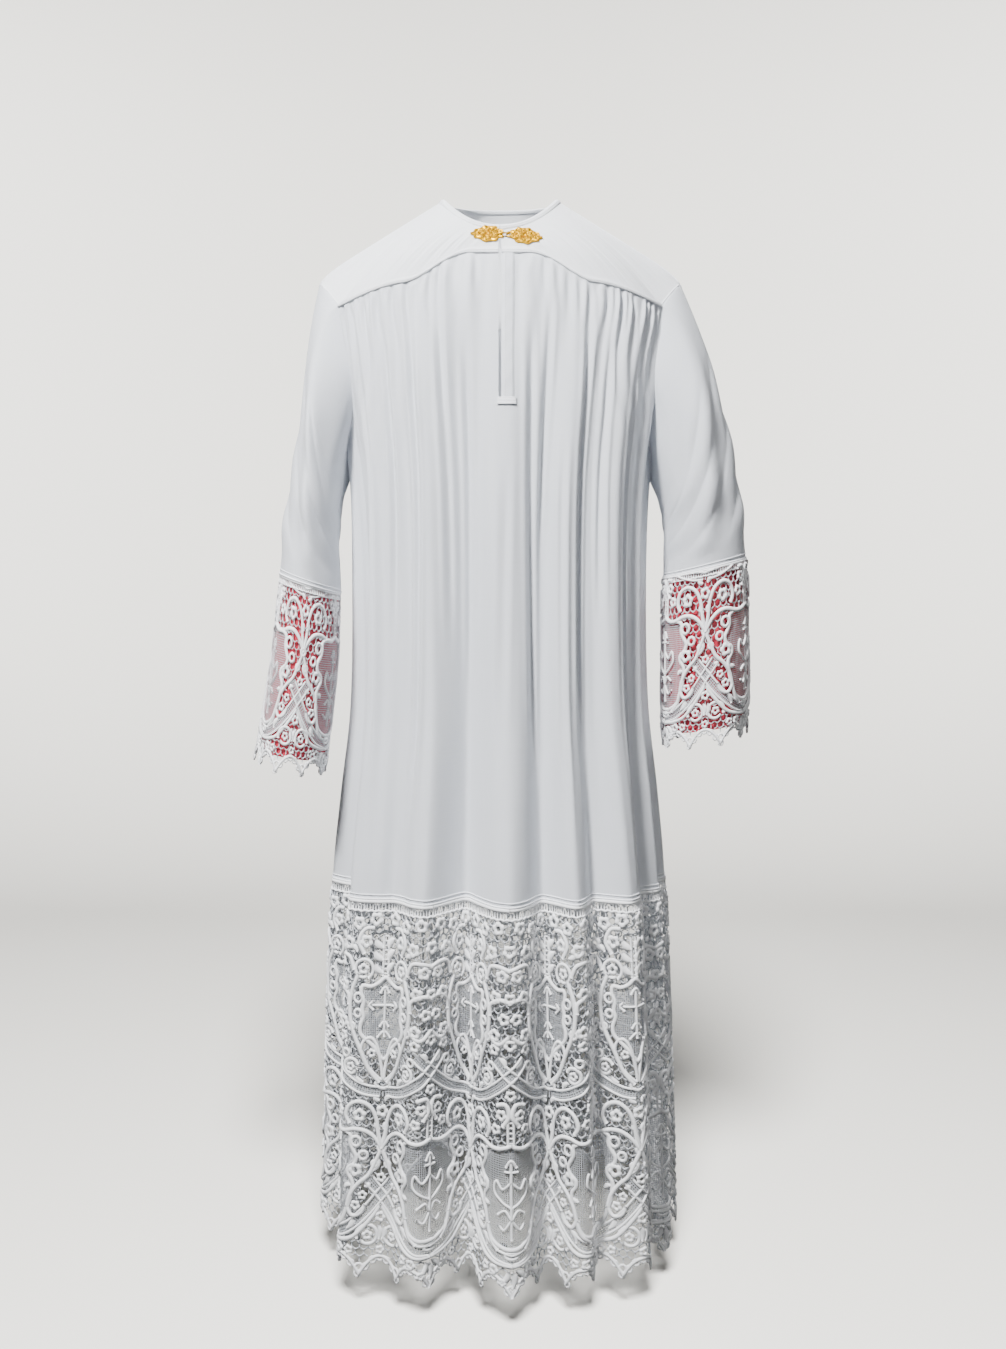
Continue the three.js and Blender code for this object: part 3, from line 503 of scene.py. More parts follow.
FINE_COTTON = {"pitch": 0.00062, "roughness": 0.85, "depth": 0.00012, "sheen": 0.1}
cotton = woven("cotton", (0.65, 0.68, 0.73), (0.79, 0.81, 0.85), translucent=0.1, **FINE_COTTON)
double_cotton = woven(
    "double_cotton", (0.76, 0.79, 0.83), (0.9, 0.91, 0.93), translucent=0.04, **FINE_COTTON
)
satin = woven(
    "satin", (0.30, 0.002, 0.02), (0.50, 0.006, 0.04),
    pitch=0.0009, roughness=0.42, depth=0.00005, translucent=0.0, sheen=0.2, slub=0.2,
)
lace_threads = [
    thread("lace_thread", (0.88, 0.89, 0.91), (0.97, 0.975, 0.98), 0.9, 0.0004, 1400.0),
    # The net's, gauze's and ribbons' fine thread is the cords' white thread, painted darker grey as shade.
    thread("net_thread_painted_shade", (0.48, 0.50, 0.53), (0.60, 0.62, 0.65), 0.95, 0.0004, 1800.0),
]
sewing = thread("sewing_thread", (0.80, 0.82, 0.86), (0.9, 0.91, 0.94), 0.8, 0.0002, 2600.0)
gilt = gilt_metal((0.20, 0.09, 0.002), (0.60, 0.34, 0.008))

# ---- Body panels ----


def yoke_seam(is_front, share):
    across = np.abs(share)
    if not is_front:
        return np.full(np.shape(share), float(YOKE_CORNER))
    drop = mix(YOKE_MIDDLE, YOKE_SIDE, ease(0.1, 0.42, across))
    return drop + (YOKE_CORNER - YOKE_SIDE) * ease(0.35, 1, across)


def panel_edge(drop):
    """Degrees from a panel's middle to its edge: the armhole above, the side seam below."""
    hole = ease(YOKE_CORNER, UNDERARM, drop)
    return mix(ARMHOLE_DEG, 90, hole**1.6) - ARMHOLE_HOLLOW * np.sin(np.pi * hole)


def panel(is_front, share, down, out=0.0):
    """Points of a body panel: share from -1 to 1 across it, down from 0 at the yoke to 1 at the lace."""
    share, down = np.broadcast_arrays(share, down)
    seam = yoke_seam(is_front, share)
    drop = mix(seam, LACE, down)
    below = drop - seam
    gathers = FRONT_GATHERS if is_front else BACK_GATHERS
    uneven = 0.75 + 0.25 * np.sin(9 * share + 2)
    phase = np.pi * gathers * (share + 1) + 0.5 * np.sin(11 * share)
    wave = np.cos(phase) * uneven + 0.45 * np.cos(2 * phase + 1 + 5 * share) * (1 - ease(20, 70, below))
    if is_front:
        wave = wave * ease(0, 0.08, np.abs(share))
    rise = 0.2 + 0.8 * ease(0, GATHER_RISE, below)
    fall = (1 - ease(GATHER_RISE, GATHER_FADE, below)) * 0.8 + 0.2 * (1 - ease(60, 420, below))
    deg = share * panel_edge(drop) + (0 if is_front else 180)
    fine = small_folds(drop, deg) * ease(0, 60, below) - creases(drop, deg)
    pucker = np.cos(np.pi * 31 * share + 1.7 * np.sin(23 * share)) + 0.5 * np.cos(np.pi * 47 * share + 2)
    fine = fine + 1.9 * pucker * ease(0, 10, below) * np.exp(-below / 34) * ease(0.06, 0.1, np.abs(share))
    return soften(body(drop, deg, GATHER_REACH * wave * rise * fall + fine + out))


def panel_rows(count):
    """Rows down a panel, closest where the gathers are."""
    t = np.linspace(0, 1, count)
    return mix(t**2, t, 0.45)


def front_half(sign):
    """Half of the front: its edge beside the slit runs down the slit, then closes to the middle."""
    down = panel_rows(FRONT_GRID[0])[:, None]
    slit_down = (SLIT_END - YOKE_MIDDLE) / (LACE - YOKE_MIDDLE)
    away = SLIT_SHARE * (1 - ease(slit_down - 0.012, slit_down + 0.004, down))
    share = away + (1 - away) * np.linspace(0, 1, FRONT_GRID[1])[None, :] ** 0.96
    return panel(True, sign * share, down)


def join_front():
    left, right = front_half(1), front_half(-1)[:, ::-1]
    faces, count = grid_faces(*left.shape[:2]), left[..., 0].size
    faces += [[k + count for k in face] for face in faces]
    u, v = thread_lengths(left)
    uv = np.concatenate([spread(-u[::-1], v), spread(u, v)])
    verts = np.concatenate([right.reshape(-1, 3), left.reshape(-1, 3)])
    piece = make("front", verts, faces, [cotton], uv=uv)
    merge_close(piece, TOUCHING)
    return piece


pieces = {}
pieces["front"] = join_front()
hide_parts("front_body")
behind = panel(False, np.linspace(-1, 1, BACK_GRID[1])[None, :], panel_rows(BACK_GRID[0])[:, None])
pieces["back"] = cloth("back", behind, cotton)
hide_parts("back_body")

# ---- Yoke ----


def neck(turn):
    """Points of the neck's edge: 0 at the front middle, 90 at the left shoulder, 180 behind."""
    s, c = sin_cos(turn)
    depth = np.where(c > 0, NECK_FRONT, NECK_BACK)
    low = np.where(c > 0, NECK_FRONT_DROP, NECK_BACK_DROP)
    return np.stack([NECK_HALF * signed_power(s, 0.9), -depth * c, -low * np.abs(c) ** 1.7], -1)


def yoke_half(is_front, start=0.0):
    """Half of the yoke, on the wearer's left, from the neck to the seam and the armhole."""
    share = np.linspace(start, 1, YOKE_GRID[1])
    drop = yoke_seam(is_front, share)
    turn = share * panel_edge(drop)
    edge = body(drop, turn if is_front else 180 - turn)
    t = np.linspace(0, 1, ARM_COLUMNS + 1)[1:, None]
    edge = np.vstack([edge, mix(edge[-1], SHOULDER_TIP, t) + np.sin(np.pi * t) * np.array([3, 0, 6])])
    neck_turn = np.concatenate([share * YOKE_CORNER_DEG, mix(YOKE_CORNER_DEG, 90, t[:, 0])])
    top = neck(neck_turn if is_front else 180 - neck_turn)
    by_middle = ease(0, 40, neck_turn) if is_front else 1.0
    down = np.linspace(0, 1, YOKE_GRID[0])[:, None]
    bulge = YOKE_BULGE * by_middle * (1 - ease(55, 90, neck_turn)) * np.sin(np.pi * down)
    out = unit(np.array([0.25, -0.65 if is_front else 0.65, 0.7]))
    pull = 0.5 * np.sin(0.9 * neck_turn + 3) + 0.35 * np.sin(2.1 * neck_turn)
    bulge = bulge + pull * np.sin(np.pi * down) * ease(0, 0.6, down)
    return soften(mix(top[None], edge[None], down[..., None]) + out * bulge[..., None])


left_yoke = yoke_half(True, start=SLIT_HALF / YOKE_ARC)
back_left = yoke_half(False)[:, ::-1]
whole_back = np.concatenate([back_left, mirror_x(back_left)[:, 1:]], 1)
# name, points, the CAD node, and the columns before and after its seam with the gathers
YOKES = (
    ("left", left_yoke, "yoke_front_left", 0, ARM_COLUMNS),
    ("right", mirror_x(left_yoke), "yoke_front_right", ARM_COLUMNS, 0),
    ("behind", whole_back, "yoke_back", ARM_COLUMNS, ARM_COLUMNS),
)
for name, points, node, _, _ in YOKES:
    piece = cloth(f"yoke_{name}", points, double_cotton)
    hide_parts(node)
    pieces[piece.name] = piece

# ---- Sleeves ----


def armhole(is_left):
    """The armhole's edge from the shoulder's tip down the back and up the front, as if on the left."""
    side = 1 if is_left else -1
    drop = np.linspace(YOKE_CORNER, UNDERARM, 60)
    back, front = (
        on_side(soften(body(drop, middle + turn * side * panel_edge(drop))), is_left)
        for middle, turn in ((180, -1), (0, 1))
    )
    yoke_back, yoke_front = (yoke_half(is_front)[-1, -ARM_COLUMNS - 1:] for is_front in (False, True))
    return np.vstack([yoke_back[:0:-1], back, front[-2::-1], yoke_front[1:-1]])


def even_loop(loop, count):
    """Points and turns shared out along a closed loop by its length."""
    closed = np.vstack([loop, loop[:1]])
    run = running(norm(np.diff(closed, axis=0)))
    marks = np.linspace(0, run[-1], count, endpoint=False)
    return at_marks(marks, run, closed), 360 * marks / run[-1]


def sleeve_points(table, at, turn, inset=0.0):
    """Points of a sleeve: at is a row of its table, turn 0 its outer line and 90 its back."""
    at, turn = np.broadcast_arrays(at, turn)
    rows = [(k, *row) for k, row in enumerate(table)]
    out_x, out_drop, in_x, in_drop, depth, middle_y = read(rows, at)
    outer, inner = (np.stack([x, 0 * x, -drop], -1) for x, drop in ((out_x, out_drop), (in_x, in_drop)))
    middle, across = (outer + inner) / 2, (outer - inner) / 2
    a, (s, c) = np.radians(turn), sin_cos(turn)
    cotton_part = at < CUFF_ROW
    waves, reach = np.where(cotton_part, 5, 4), np.where(cotton_part, 4.5, 2.5)
    clear = 0.5 + 0.5 * np.minimum(c + 0.6, 1)
    fade = ease(0, 2, at) * ease(0, 1.5, np.abs(at - CUFF_ROW))
    wave = np.sin(waves * a + 0.8 * at)
    fine = 0.9 * np.sin(9 * a + 1.9 * at + 1) + 0.7 * np.sin(4 * a - 3.1 * at)
    fine = fine + 1.1 * np.sin(2 * a + 4.3 * at) * ease(1, 3, at)
    slant = np.sin(3 * a + 2.6 * at + 0.8 * s)
    fine = fine + 3.2 * (np.abs(slant) ** 0.6 - 0.7) * ease(0.8, 2.2, at) * (1 - ease(4.4, 5.8, at))
    fold = (reach * wave + fine * cotton_part) * clear * fade - inset
    points = middle + across * (c * (1 + fold / norm(across)))[..., None]
    points[..., 1] += middle_y + s * (depth + fold)
    return points


def sleeve(table, is_left):
    loop, turns = even_loop(armhole(is_left), SLEEVE_GRID[1])
    at = np.linspace(0, CUFF_ROW, SLEEVE_GRID[0])[:, None]
    rings = soften(sleeve_points(table, at, turns[None, :]))
    points = mix((loop + np.array([0.4, 0, 0]))[None], rings, ease(0, 1.6, at)[..., None])
    outer = np.cos(np.radians(turns))
    head = 1.6 * np.cos(np.radians(24 * turns)) * (outer > 0.2) * outer  # gathers over the arm's head
    points[..., 0] += ease(0, 0.12, at) * (1 - ease(0.12, 0.6, at)) * head[None, :]
    points = np.concatenate([points, points[:, :1]], 1)
    return points if is_left else mirror_x(points)


for side, table, is_left in SLEEVES:
    piece = cloth(f"sleeve_cloth_{side}", sleeve(table, is_left), cotton)
    merge_close(piece, TOUCHING)
    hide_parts(f"sleeve_{side}_front", f"sleeve_{side}_back")
    pieces[piece.name] = piece

# ---- Placket, seams and bindings ----

PLACKET_INNER, PLACKET_WIDTH = 1.2, 12.5
PLACKET_TOP, PLACKET_FOOT = 0.002, 0.226  # shares of the way from the yoke to the lace
STITCH, STITCH_GAP, STITCH_RADIUS = 2.6, 1.0, 0.3
STITCH_BOW = np.array([0.0, 0.35, 0.35, 0.0])[:, None]
# how far along the sheet from its edge, and how far out of it
BAND_PROFILE = [
    (4.0, -0.9), (0.6, -1.1), (-0.9, -0.5), (-0.9, 0.7), (0.6, 1.5), (3.2, 1.7), (6.0, 1.5), (7.0, 0.2),
]
FOLD_PROFILE = [(-2.2, -0.4), (-2.6, 0.9), (-1.4, 2.0), (1.5, 2.1), (5.5, 1.7), (8.0, 0.15)]


def placket_points():
    """The folded strip beside the slit."""
    fall = np.linspace(PLACKET_TOP, PLACKET_FOOT, PLACKET_GRID[0])[:, None]
    across = np.linspace(PLACKET_INNER, PLACKET_WIDTH, PLACKET_GRID[1])[None, :]
    edge = np.minimum(across - PLACKET_INNER, PLACKET_WIDTH - across)
    crease = 0.25 * np.sin(fall * 190 + across * 0.4) + 0.2 * np.sin(fall * 77)
    return panel(True, across / FRONT_ARC, fall, 0.35 + (1.5 + crease) * ease(0, 2.2, edge))


def row_normals(points, row):
    """Directions out of a sheet along one of its rows."""
    return unit(np.cross(np.gradient(points, axis=0)[row], np.gradient(points, axis=1)[row]))


def stitch_rows(name, rows):
    """Small raised stitches in one piece; a row is a path and the directions out of the cloth."""
    threads = Threads()
    for path, normals in rows:
        run = running(norm(np.diff(path, axis=0)))
        at = 0.0
        while at + STITCH < run[-1]:
            marks = np.linspace(at, at + STITCH, len(STITCH_BOW))
            place, out = at_marks(marks, run, path), at_marks(marks, run, normals)
            threads.add(*tube(place + out * STITCH_BOW, STITCH_RADIUS, 4))
            at += STITCH + STITCH_GAP
    return threads.piece(name, [sewing], "cotton")


def edging(prefix, stitched, sheets, profile, hand, row):
    """A narrow folded band over each sheet's first row, and the stitches along one row of them all."""
    rows = []
    for name, sheet in sheets:
        way, out = unit(sheet[2] - sheet[0]), hand * row_normals(sheet, 1)
        band = np.stack([sheet[0] + way * along + out * lift for along, lift in profile])[:, ::hand]
        pieces[f"{prefix}_{name}"] = cloth(f"{prefix}_{name}", band, double_cotton)
        rows.append((band[row], row_normals(band, row)))
    pieces[stitched] = stitch_rows(stitched, rows)


strip = placket_points()
pieces["placket_strip"] = cloth("placket_strip", strip, cotton)
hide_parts("placket")
tack = Threads()
for k in range(5):
    share = np.linspace(-1.5, PLACKET_WIDTH + 1, 30) / FRONT_ARC
    tack.add(*tube(panel(True, share, PLACKET_FOOT + 0.0022 * k, 1.2), 1.15, 6))
pieces["bar_tack"] = tack.piece("bar_tack", [sewing], "cotton")
turned = strip.transpose(1, 0, 2)
pieces["placket_stitches"] = stitch_rows(
    "placket_stitches", [(turned[k], -row_normals(turned, k)) for k in (3, -4)]
)
edging("neck_band", "neck_stitches", [yoke[:2] for yoke in YOKES], BAND_PROFILE, 1, 5)
# The yoke's lower edge lies over the gathers, with a row of stitches above it.
lower = [(name, points[::-1, before:points.shape[1] - after]) for name, points, _, before, after in YOKES]
edging("yoke_fold", "yoke_stitches", lower, FOLD_PROFILE, -1, 3)

seams = Threads()
for is_left in (True, False):
    loop, _ = even_loop(armhole(is_left), 200)
    seams.add(*tube(on_side(loop + np.array([-0.6, 0, 0]), is_left), 1.0, 6, True))
shoulder = mix(neck(90.0), SHOULDER_TIP, np.linspace(0, 1, 40)[:, None])
for is_left in (True, False):
    seams.add(*tube(soften(on_side(shoulder, is_left)) + np.array([0, 0, 0.4]), 0.9, 6))
ring = np.linspace(-90, 270, 640, endpoint=False)
for drop, radius in ((LACE - 1.2, 1.5), (LACE - 6.5, 0.8)):
    seams.add(*tube(body(drop, ring, small_folds(drop, ring) + 0.5), radius, 5, True))
for side, table, is_left in SLEEVES:
    for at, radius in ((CUFF_ROW - 0.012, 1.4), (CUFF_ROW - 0.1, 0.8)):
        ring = sleeve_points(table, at, np.linspace(0, 360, 200, endpoint=False))
        seams.add(*tube(on_side(ring, is_left), radius, 6, True))
pieces["seams"] = seams.piece("seams", [sewing], "cotton")

# ---- Clasp ----

YOKE_SLOPE = math.radians(64)
YOKE_OUT = np.array([0, -math.sin(YOKE_SLOPE), math.cos(YOKE_SLOPE)])
LEAF_LONG, LEAF_TALL = 20.5, 10.8  # half sizes
EYE_X, EYE_DROP, EYE_RADIUS, WIRE = 11.8, 68, 3.1, 1.05
HOOK_LEAF, EYE_LEAF = (-16, 67, 0), (33, 70, -7)  # x, drop, tilt in degrees
LEAF_BACK = 0.55  # how far the leaves' backs stand off the yoke
# along from the eye's middle, and up from the hook's place over it
HOOK = [(-15, -1.6), (-10, -0.2), (-5, 0.1), (-2.6, 0.25), (-0.9, -0.4), (-0.1, -1.8), (0, -2.6)]
# towards the leaf's tip from its middle, across it, size, petals
FLORETS = [
    (-8, 0, 6.2, 6), (5.5, 0, 4.6, 5), (-1.5, 5.6, 3.2, 5), (-1.5, -5.6, 3.2, 5), (-12.5, 5, 2.6, 4),
    (-12.5, -5, 2.6, 4), (6, 5, 2.4, 4), (6, -5, 2.4, 4), (12.5, 1.9, 2.2, 3), (12.5, -1.9, 2.2, 3),
]


def yoke_tree():
    """The front yoke without its slit, to find places on it."""
    threads = Threads()
    whole = yoke_half(True)
    for points in (whole, mirror_x(whole)):
        threads.add(points.reshape(-1, 3), grid_faces(*points.shape[:2]))
    return BVHTree.FromPolygons(threads.all_verts().tolist(), threads.faces)


def on_yoke(tree, x, drop, lift):
    """Places in front of the yoke, moved out from it."""
    hits = []
    for a, b in zip(np.ravel(x), np.ravel(drop)):
        seen = tree.ray_cast((a, -400, -b), (0, 1, 0))[0]
        hits.append(seen or tree.find_nearest((a, -100, -b))[0])
    return np.array(hits).reshape(*np.shape(x), 3) + YOKE_OUT * np.asarray(lift)[..., None]


def clasp_leaf(tree, x, drop, tilt, hand):
    """A leaf with small flowers in relief; its tip is at +x for hand 1."""
    part = np.linspace(0, 1, LEAF_GRID[0])[:, None] ** 0.8
    turn = np.linspace(0, 2 * np.pi, LEAF_GRID[1])[None, :]
    narrow = 1 - 0.42 * np.maximum(np.cos(turn), 0) ** 1.4
    lobes = 1 + 0.075 * np.cos(9 * turn)
    along = LEAF_LONG * part * lobes * np.cos(turn)
    across = LEAF_TALL * part * lobes * narrow * np.sin(turn)
    lift = 2.3 + 1.0 * (1 - part**2) + 0.35 * np.cos(18 * turn) * part**2
    for a, b, size, petals in FLORETS:
        reach = np.hypot(along - a, across - b) / size
        angle = np.arctan2(across - b, along - a)
        petal = np.exp(-((reach - 0.55) ** 2) / 0.06) * (0.55 + 0.45 * np.cos(petals * angle))
        lift = lift + 0.5 * size**0.75 * petal + 1.1 * np.exp(-((reach / 0.24) ** 2))
        lift = lift - 1.3 * np.exp(-((reach - 1.05) ** 2) / 0.012)
    lift = lift + 0.8 * np.exp(-((across / 0.7) ** 2)) * ease(9, 14, along)
    lift = np.maximum(lift, 1.1) + 0.7 * np.exp(-((part - 0.955) ** 2) / 0.0012)
    lift = np.where(part > 0.995, 0.6, lift)
    s, c = sin_cos(tilt)
    place_x = x + hand * along * c - across * s
    place_drop = drop - hand * along * s - across * c
    back = on_yoke(tree, place_x[-1:], place_drop[-1:], np.full((1, turn.size), LEAF_BACK))
    return np.concatenate([on_yoke(tree, place_x, place_drop, lift), back])[:, ::hand]


def clasp(tree):
    """Both leaves, with the hook on the right one and the eye on the left one."""
    ring = circle(EYE_X, EYE_DROP, EYE_RADIUS, EYE_RADIUS, 24)
    eye = on_yoke(tree, *ring.T, np.full(24, 0.5 + WIRE))
    along, up = np.array(HOOK).T
    path = on_yoke(tree, EYE_X + along, np.full(len(HOOK), EYE_DROP), 1.1 + 3 * WIRE + up)
    for name, leaf, hand, wire in (
        ("clasp_hook", HOOK_LEAF, -1, tube(smooth_line(path, 0.6), WIRE, 8)),
        ("clasp_eye", EYE_LEAF, 1, tube(eye, WIRE, 8, True)),
    ):
        points = clasp_leaf(tree, *leaf, hand)
        metal = Threads()
        metal.add(points.reshape(-1, 3), grid_faces(*points.shape[:2]))
        metal.add(*wire)
        pieces[name] = metal.piece(name, [gilt], "gilt")
        merge_close(pieces[name], TOUCHING / 2)
    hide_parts("clasp_right")
    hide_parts("clasp_left")


# ---- Lace pattern ----
# One repeat, as (x, v): x is 0 on the middle line of the upper medallion and HALF where the repeat
# meets the next, on the middle line of the lower medallion. v is the drop below the lace's seam.
# Flowers, rings, scrolls, leaves and lines are given for one side, and mirrored across x = 0.

TIP = 498
HALF = REPEAT_WIDTH / 2
CUFF_TOP, CUFF_TURN = 240, 20  # where the cuffs' share of the pattern starts, and how it is turned
NET_PITCH, NET_BAR, NET_CLEAR = 10.5, 2.0, 3.3
PICOTS = 17  # loops along a repeat's edge
GAUZE_PITCH, GAUZE_STRIP = 2.9, 0.66
FINE = 1  # the net's and the gauze's place in lace_threads: the cords' white thread, painted darker grey as shade

# x, v, radius
FLOWERS = [
    (14, 25, 9.5), (39, 31, 9.5), (65, 26, 9), (27, 54, 9), (54, 58, 9.5), (30, 90, 7.5), (70, 86, 9),
    (60, 114, 9), (72, 140, 8), (58, 162, 8.5),
    (58, 180, 7.5), (16, 200, 6), (44, 219, 6), (68, 262, 7.5), (60, 281, 7), (30, 282, 9), (34, 355, 9.5),
    (17, 441, 6.5), (33, 402, 6.5), (24, 388, 6), (56, 462, 7), (41, 462, 6), (68, 476, 5.5),
]
MIDDLE_FLOWERS = [(0, 276, 8.5), (0, 364, 6.5), (0, 416, 7.5), (0, 460, 6)]
EDGE_FLOWERS = [(80, 54, 9), (80, 114, 8), (80, 172, 8), (80, 236, 7)]
RINGS = [
    (36, 128, 6), (36, 148, 5), (45, 166, 5), (34, 317, 6.5), (24, 335, 5.6), (9, 346, 4), (52, 202, 5),
]
# x, v, radius, turns, first angle in degrees, hand
SCROLLS = [(30, 90, 14, 1.0, 120, 1), (17, 441, 14.5, 0.95, 20, -1), (44, 219, 11, 0.9, 200, 1)]
# base x, v, tip x, v, width
LEAVES = [
    (3, 62, 14, 50, 8), (3, 78, 15, 65, 8), (3, 95, 14, 82, 7), (76, 460, 64, 478, 6),
    (80, 462, 80, 482, 6), (50, 62, 40, 68, 6), (66, 190, 74, 200, 6), (26, 238, 36, 230, 5),
    (3, 300, 9, 290, 5), (4, 338, 12, 356, 4), (14, 372, 22, 376, 5), (48, 380, 40, 376, 5),
    (4, 262, 12, 256, 5), (4, 428, 2, 446, 5), (36, 420, 44, 434, 6),
]
UPPER_MEDALLION = [
    (0, 101), (8, 108), (19, 113), (30, 112), (32, 121), (28, 132), (30, 142), (28, 153), (32, 164),
    (31, 175), (22, 184), (11, 194), (0, 208),
]
LOWER_MEDALLION = [
    (0, 301), (14, 306), (29, 306), (38, 310), (38, 320), (42, 329), (47, 338), (44, 347), (36, 353),
    (36, 362), (42, 372), (40, 390), (35, 408), (28, 423), (14, 431), (0, 433),
]
LINES = [
    [(0, 325), (5, 304), (8, 286), (16, 271), (30, 264), (44, 270), (49, 284), (44, 294)],
    [(0, 325), (11, 310), (24, 302), (38, 301), (52, 305), (66, 305), (80, 300)],
    [(0, 325), (9, 345), (17, 361), (30, 373), (40, 388), (45, 406), (51, 424), (62, 436)],
    [(36, 96), (46, 120), (48, 146), (43, 170), (31, 196), (19, 222), (5, 238)],
    [(80, 118), (66, 116), (52, 124), (50, 138)], [(80, 160), (66, 172), (54, 168)],
    [(16, 36), (30, 38), (38, 54), (30, 70)], [(80, 78), (66, 74), (52, 76), (44, 92)],
    [(62, 250), (74, 248), (78, 262), (70, 276)], [(46, 404), (38, 416), (26, 412), (20, 400)],
    [(0, 400), (14, 420), (36, 444), (58, 452), (80, 454)],
]
LEAF_LOOP = [(1, 234), (4, 210), (9, 190), (17, 180), (26, 183), (30, 196), (23, 215), (8, 231)]
CROSS = [
    [(0, 114), (0, 178)], [(-17, 137), (17, 137)],
    [(-6, 121), (0, 113), (6, 121)], [(-15, 131), (-21, 137), (-15, 143)],
    [(15, 131), (21, 137), (15, 143)], [(-9, 179), (0, 171), (9, 179)], [(-6, 165), (0, 158), (6, 165)],
]
LILY = [
    [(80, 319), (80, 420)], [(72, 333), (88, 333)], [(74, 327), (80, 318), (86, 327)],
    [(80, 346), (69, 356), (61, 346), (58, 360), (67, 371), (80, 379)],
    [(80, 346), (91, 356), (99, 346), (102, 360), (93, 371), (80, 379)],
    [(63, 389), (73, 383), (80, 394), (87, 383), (97, 389)],
    [(80, 394), (71, 408), (63, 402)], [(80, 394), (89, 408), (97, 402)],
]
UPPER_RIBBON = [(100, 193), (80, 212), (62, 228), (42, 241), (20, 249), (0, 251)]
LOWER_RIBBON = [(-17, 366), (0, 386), (20, 410), (38, 428), (58, 441), (80, 446)]
RIBBON_HALF = 6.2


def tile_edge(x):
    """The drop of the lace's edge."""
    wave = np.abs(np.sin(np.pi * (np.asarray(x) / SCALLOP_WIDTH + 0.5)))
    return TIP - SCALLOP_DEPTH * wave**0.8


def circle(x, v, wide, tall, count):
    turn = np.linspace(0, 2 * np.pi, count + 1)[:-1]
    return np.stack([x + wide * np.cos(turn), v + tall * np.sin(turn)], 1)


def outline(half, about):
    """A closed outline from half of it, given by half widths and drops."""
    half = np.array(half, float)
    return np.vstack([half, half[-2:0:-1] * (-1, 1)]) + (about, 0)


